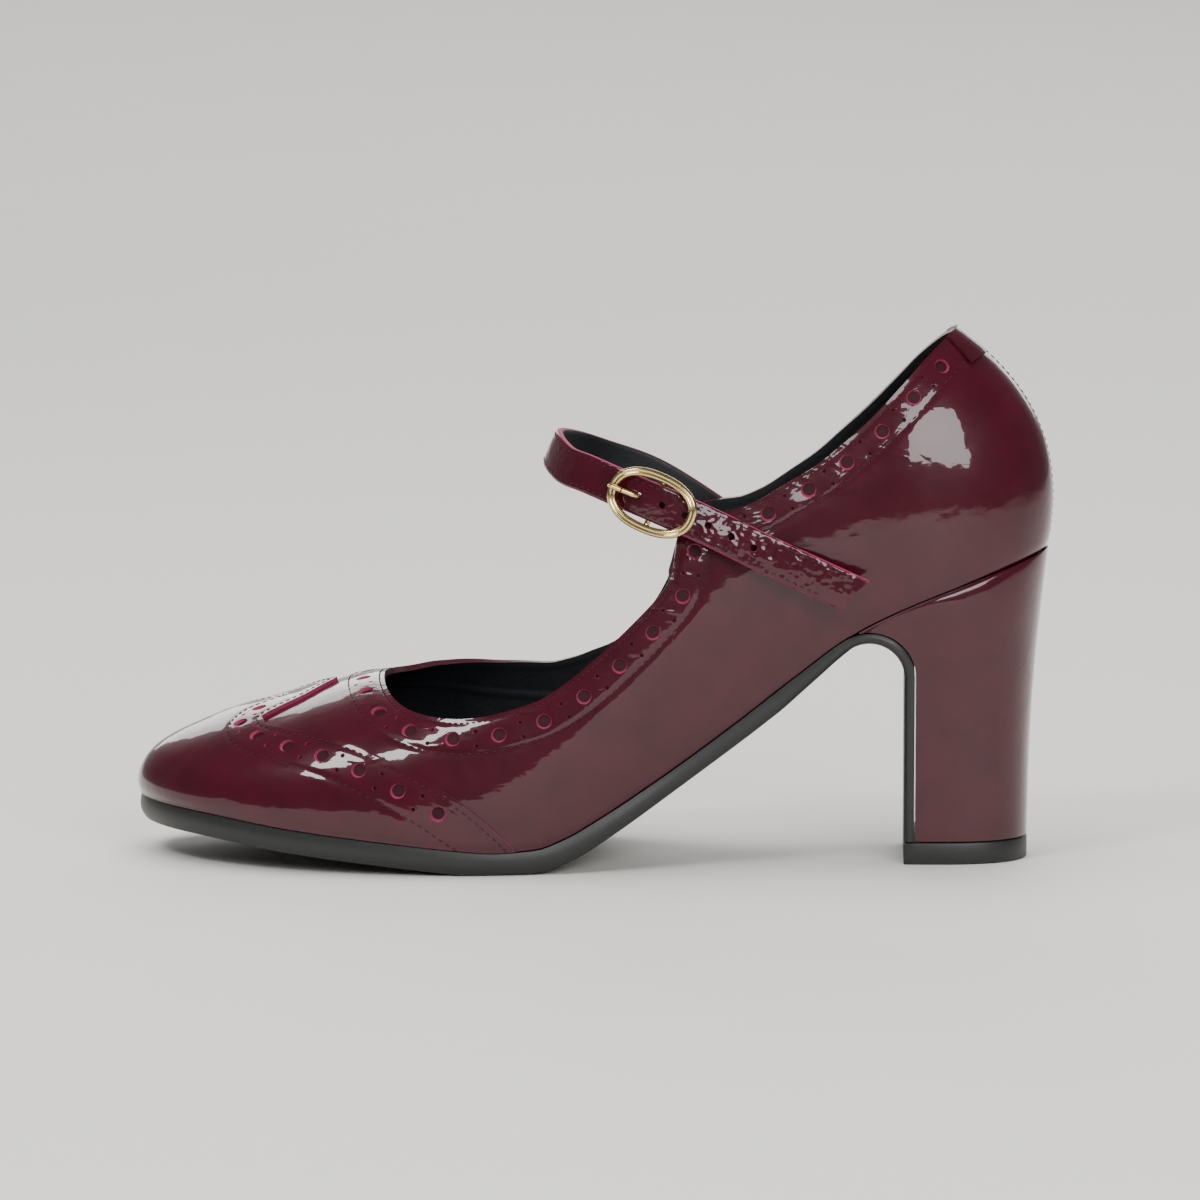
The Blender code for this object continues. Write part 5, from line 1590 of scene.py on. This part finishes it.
@dataclass
class Buckle:
    """Oval frame with a grooved face, its centre bar and prong, and the tab that holds the bar."""

    finishes: Finishes
    strap: Strap
    length: float = 23.0 * MM
    height: float = 15.4 * MM
    wire: float = 2.0 * MM
    bar_wire: float = 1.4 * MM
    prong_wire: float = 1.3 * MM
    tab_thickness: float = 1.2 * MM
    tab_width: float = 7.0 * MM

    def __post_init__(self) -> None:
        """Work out where the buckle lies on the strap."""
        strap = self.strap
        self.middle = strap.distance_at(strap.buckle_at)
        here = strap.frame_at(self.middle)
        self.centre = here.place
        self.reach = (self.length - self.wire) / 2
        self.side_reach = (self.height - self.wire) / 2
        ahead = point_at(strap.line, strap.lengths, self.middle + self.reach)
        behind = point_at(strap.line, strap.lengths, self.middle - self.reach)
        self.run = (ahead - behind).normalized()
        self.wide = (here.wide - self.run * here.wide.dot(self.run)).normalized()
        self.normal = self.run.cross(self.wide)
        if self.normal.y > 0:
            self.normal.negate()
        self.oval = self.oval_points()
        limit = strap.width / 2 + self.wire
        rises = [(point_at(strap.line, strap.lengths, self.middle + a) - self.centre).dot(self.normal)
                 for a, b in self.oval if abs(b) < limit]
        self.lift = max(rises) + strap.thickness / 2 + CLEARANCE + self.wire / 2

    def oval_points(self) -> list[tuple[float, float]]:
        """Middle line of the frame in its own plane."""
        squareness, steps = 2.3, 96
        bend = 2 / squareness
        found = []
        for i in range(steps):
            angle = 2 * math.pi * i / steps
            a, b = math.cos(angle), math.sin(angle)
            found.append((math.copysign(abs(a) ** bend, a) * self.reach,
                          math.copysign(abs(b) ** bend, b) * self.side_reach))
        return found

    def at(self, forward: float, up: float, out: float) -> Vector:
        """Place in the buckle's own axes."""
        return self.centre + self.run * forward + self.wide * up + self.normal * out

    def frame_section(self) -> list[tuple[float, float]]:
        """Section of the frame: rounded, with a groove along the middle of its face."""
        found = []
        for i in range(32):
            angle = 2 * math.pi * i / 32
            a, b = 1.12 * MM * math.cos(angle), 0.92 * MM * math.sin(angle)
            if b > 0:
                b -= 0.34 * MM * math.exp(-(a / (0.26 * MM)) ** 2)
            found.append((a, b))
        return found

    def wire_piece(self, name: str, stops: Sequence[Vector], radius: float, steps: int = 12
                   ) -> bpy.types.Object:
        """Round wire through its stops, with rounded ends."""
        count = (len(stops) - 1) * steps + 1
        path = [spline(stops, i / steps) for i in range(count)]
        taper = [math.sqrt(max(1 - (1 - min(i, count - 1 - i, 4) / 4) ** 2, 0.05))
                 for i in range(count)]
        form = sweep(path, [self.wide] * count, round_section(radius, 14), taper=taper)
        return make_object(form, name, (self.finishes.gold,))

    def build(self) -> None:
        """Make the frame with its bar, the prong and the tab."""
        ring = [self.at(a, b, self.lift) for a, b in self.oval]
        form = sweep(ring, [self.normal] * len(ring), self.frame_section(), closed=True)
        settle(make_object(form, "buckle_oval", (self.finishes.gold,), 60), Slot.METAL, "buckle_frame")
        strap = self.strap
        under = -(strap.thickness / 2 + CLEARANCE + self.bar_wire / 2)
        clear = strap.width / 2 + 3 * CLEARANCE + self.bar_wire / 2
        bar = [self.at(0, self.side_reach, self.lift), self.at(0, clear, self.lift / 2),
               self.at(0, clear, under), self.at(0, 0, under), self.at(0, -clear, under),
               self.at(0, -clear, self.lift / 2), self.at(0, -self.side_reach, self.lift)]
        count = (len(bar) - 1) * 8 + 1
        form = sweep([spline(bar, i / 8) for i in range(count)], [self.run] * count,
                     round_section(self.bar_wire / 2, 12))
        settle(make_object(form, "buckle_bar", (self.finishes.gold,)), Slot.METAL)
        radius = self.prong_wire / 2
        hole = strap.frame_at(strap.distance_at(strap.prong_hole_at))
        hole_at = (hole.place - self.centre).dot(self.run)
        rise = (hole.place - self.centre).dot(self.normal)
        over = strap.thickness / 2 + CLEARANCE + radius
        rest = self.lift + self.wire / 2 + CLEARANCE / 2 + radius
        stops = [self.at(-(self.bar_wire / 2 + CLEARANCE + radius), 0, under),
                 hole.place - hole.normal * (over + radius), hole.place + hole.normal * over,
                 self.at(hole_at - 2.0 * self.prong_wire, 0,
                         max(rise + over + CLEARANCE, (self.lift + rest) / 2)),
                 self.at(-self.reach, 0, rest), self.at(-self.reach - self.wire / 2, 0, rest)]
        settle(self.wire_piece("buckle_tongue", stops, radius), Slot.METAL, "buckle_prong")
        self.build_tab(under)

    def build_tab(self, under: float) -> None:
        """Make the leather tab from the outer quarter to the bar."""
        half = self.tab_thickness / 2
        share, height, _ = OUTER_RUN[0]
        fall = 3.0      # height that the tab loses for each share of the length, towards the heel
        stops, faces = [], []
        for back in (0.020, 0.0, -0.018):
            place, normal = LAST.on_quarter(Side.OUTER, share + back, height - fall * back,
                                            CLEARANCE + half)
            stops.append(place)
            faces.append(normal)
        bar = self.at(0, 0, under - self.bar_wire / 2 - CLEARANCE - half)
        stops += [bar + self.run * 3.5 * MM, bar - self.run * 0.4 * MM]
        faces += [self.normal, self.normal]
        steps = 12
        count = (len(stops) - 1) * steps + 1
        section = strip_section(self.tab_width, self.tab_thickness, 0.1 * MM, 12)
        form = sweep([spline(stops, i / steps) for i in range(count)],
                     [spline(faces, i / steps).normalized() for i in range(count)], section)
        mark_creased(form, lambda _: 0.8)
        settle(make_object(form, "buckle_tab_leather", (self.finishes.patent,), 50), Slot.PATENT,
               "buckle_tab")


@dataclass
class Stitching:
    """Every visible stitch, as one joined mesh for each sub-assembly."""

    finishes: Finishes
    length_share: float = 0.66          # of the pitch
    width: float = 0.42 * MM
    height: float = 0.30 * MM

    def build(self, name: str, rows: Sequence[StitchRow]) -> bpy.types.Object:
        """Make the stitches of some rows."""
        form = bmesh.new()
        for row in rows:
            for i in range(len(row.points)):
                before = row.points[max(i - 1, 0)]
                after = row.points[min(i + 1, len(row.points) - 1)]
                if (after - before).length > 3 * row.pitch:
                    continue
                run = (after - before).normalized()
                normal = (row.normals[i] - run * row.normals[i].dot(run)).normalized()
                across = normal.cross(run)
                turn = Matrix((run, across, normal)).transposed().to_4x4()
                size = Matrix.Diagonal((row.pitch * self.length_share / 2, self.width / 2,
                                        self.height / 2, 1))
                turn.translation = row.points[i] + normal * 0.06 * MM
                bmesh.ops.create_uvsphere(form, u_segments=6, v_segments=4, radius=1.0,
                                          matrix=turn @ size)
        return settle(make_object(form, name, (self.finishes.thread,), 80), Slot.PATENT)


@dataclass
class Studio:
    """Pale floor, soft lights and the camera at the photograph's angle."""

    elevation: float = 7.5              # degrees above the floor
    distance: float = 1.9
    frame_width: float = 0.300          # metres across the picture at the shoe
    camera_x: float = 0.0658            # the photograph's camera stands right of the shoe
    aim: tuple[float, float, float] = (0.002, 0.0, 0.064)
    floor_size: float = 16.0
    sweep_starts: float = 2.2
    sweep_radius: float = 1.5

    def build(self) -> None:
        """Make the floor, the lights, the world and the camera."""
        self.build_camera()
        self.build_floor()
        self.area("key", (-0.75, -0.95, 1.35), (0.02, 0.0, 0.08), (0.45, 0.45), 13.0)
        self.area("counter_glow", (0.66, -1.38, 0.76), (0.08, 0.0, 0.09), (1.05, 0.66), 19.0)
        overhead = self.area("overhead", (-0.1, 0.25, 1.9), (0.0, 0.1, 0.0), (2.2, 1.6), 50.0)
        overhead.visible_glossy = False
        self.area("back_wall", (0.2, 2.6, 1.1), (0.0, 0.0, 0.1), (3.0, 1.4), 36.0)
        self.build_world()

    def build_camera(self) -> None:
        """Camera that looks at the shoe from the photograph's side and height."""
        lens = bpy.data.cameras.new("camera")
        lens.sensor_width = 36.0
        lens.lens = 36.0 * self.distance / self.frame_width
        lens.clip_end = 100.0
        camera = bpy.data.objects.new("camera", lens)
        tilt = math.radians(self.elevation)
        aim = Vector(self.aim)
        camera.location = (self.camera_x, aim.y - self.distance * math.cos(tilt),
                           aim.z + self.distance * math.sin(tilt))
        camera.rotation_mode = "QUATERNION"
        camera.rotation_quaternion = (aim - camera.location).to_track_quat("-Z", "Y")
        bpy.context.scene.collection.objects.link(camera)
        bpy.context.scene.camera = camera

    def build_floor(self) -> None:
        """Painted paper floor that sweeps up behind the shoe."""
        form = bmesh.new()
        bmesh.ops.create_grid(form, x_segments=4, y_segments=96, size=self.floor_size / 2)
        for vertex in form.verts:
            past = vertex.co.y - self.sweep_starts
            angle = min(max(past / self.sweep_radius, 0.0), math.pi / 2)
            if past > 0:
                rise = max(past - self.sweep_radius * math.pi / 2, 0.0)
                vertex.co.y = self.sweep_starts + self.sweep_radius * math.sin(angle)
                vertex.co.z = self.sweep_radius * (1 - math.cos(angle)) + rise
        mesh = bpy.data.meshes.new("floor")
        form.to_mesh(mesh)
        form.free()
        floor = bpy.data.objects.new("floor", mesh)
        floor.location.z = -0.05 * MM
        # painted paper: matt, warm grey and even
        mesh.materials.append(Mottled("paper_backdrop_matt", "#dbd9d3", "#dfddd7", 0.75, 30 * MM,
                                      0.01 * MM).build())
        bpy.context.scene.collection.objects.link(floor)

    def area(self, name: str, place: tuple[float, float, float], aim: tuple[float, float, float],
             size: tuple[float, float], power: float) -> bpy.types.Object:
        """Rectangular soft light."""
        lamp = bpy.data.lights.new(name, "AREA")
        lamp.shape = "RECTANGLE"
        lamp.size, lamp.size_y = size
        lamp.energy = power
        light = bpy.data.objects.new(name, lamp)
        light.location = place
        light.rotation_mode = "QUATERNION"
        light.rotation_quaternion = (Vector(aim) - Vector(place)).to_track_quat("-Z", "Y")
        bpy.context.scene.collection.objects.link(light)
        return light

    def build_world(self) -> None:
        """Dim even surroundings."""
        world = bpy.data.worlds.new("studio")
        world.use_nodes = True
        shader = world.node_tree.nodes["Background"]
        shader.inputs["Color"].default_value = to_linear("#b8bac0")
        shader.inputs["Strength"].default_value = 0.32
        bpy.context.scene.world = world


def main() -> None:
    """Build the studio and every piece of the shoe."""
    logging.basicConfig(level=logging.INFO, format="%(name)s %(message)s")
    Studio().build()
    finishes = Finishes()
    upper = Upper(finishes)
    upper.build()
    wingtip = Wingtip(finishes)
    wingtip.build()
    BackTab(finishes).build()
    Insole(finishes).build()
    heel = Heel(finishes)
    heel.build()
    Outsole(finishes, heel).build()
    strap = Strap(finishes)
    strap.build()
    Buckle(finishes, strap).build()
    stitching = Stitching(finishes)
    stitching.build("upper_stitches", upper.stitches)
    stitching.build("wingtip_stitches", wingtip.stitches)
    stitching.build("strap_stitches", strap.stitches)


if __name__ == "__main__":
    main()
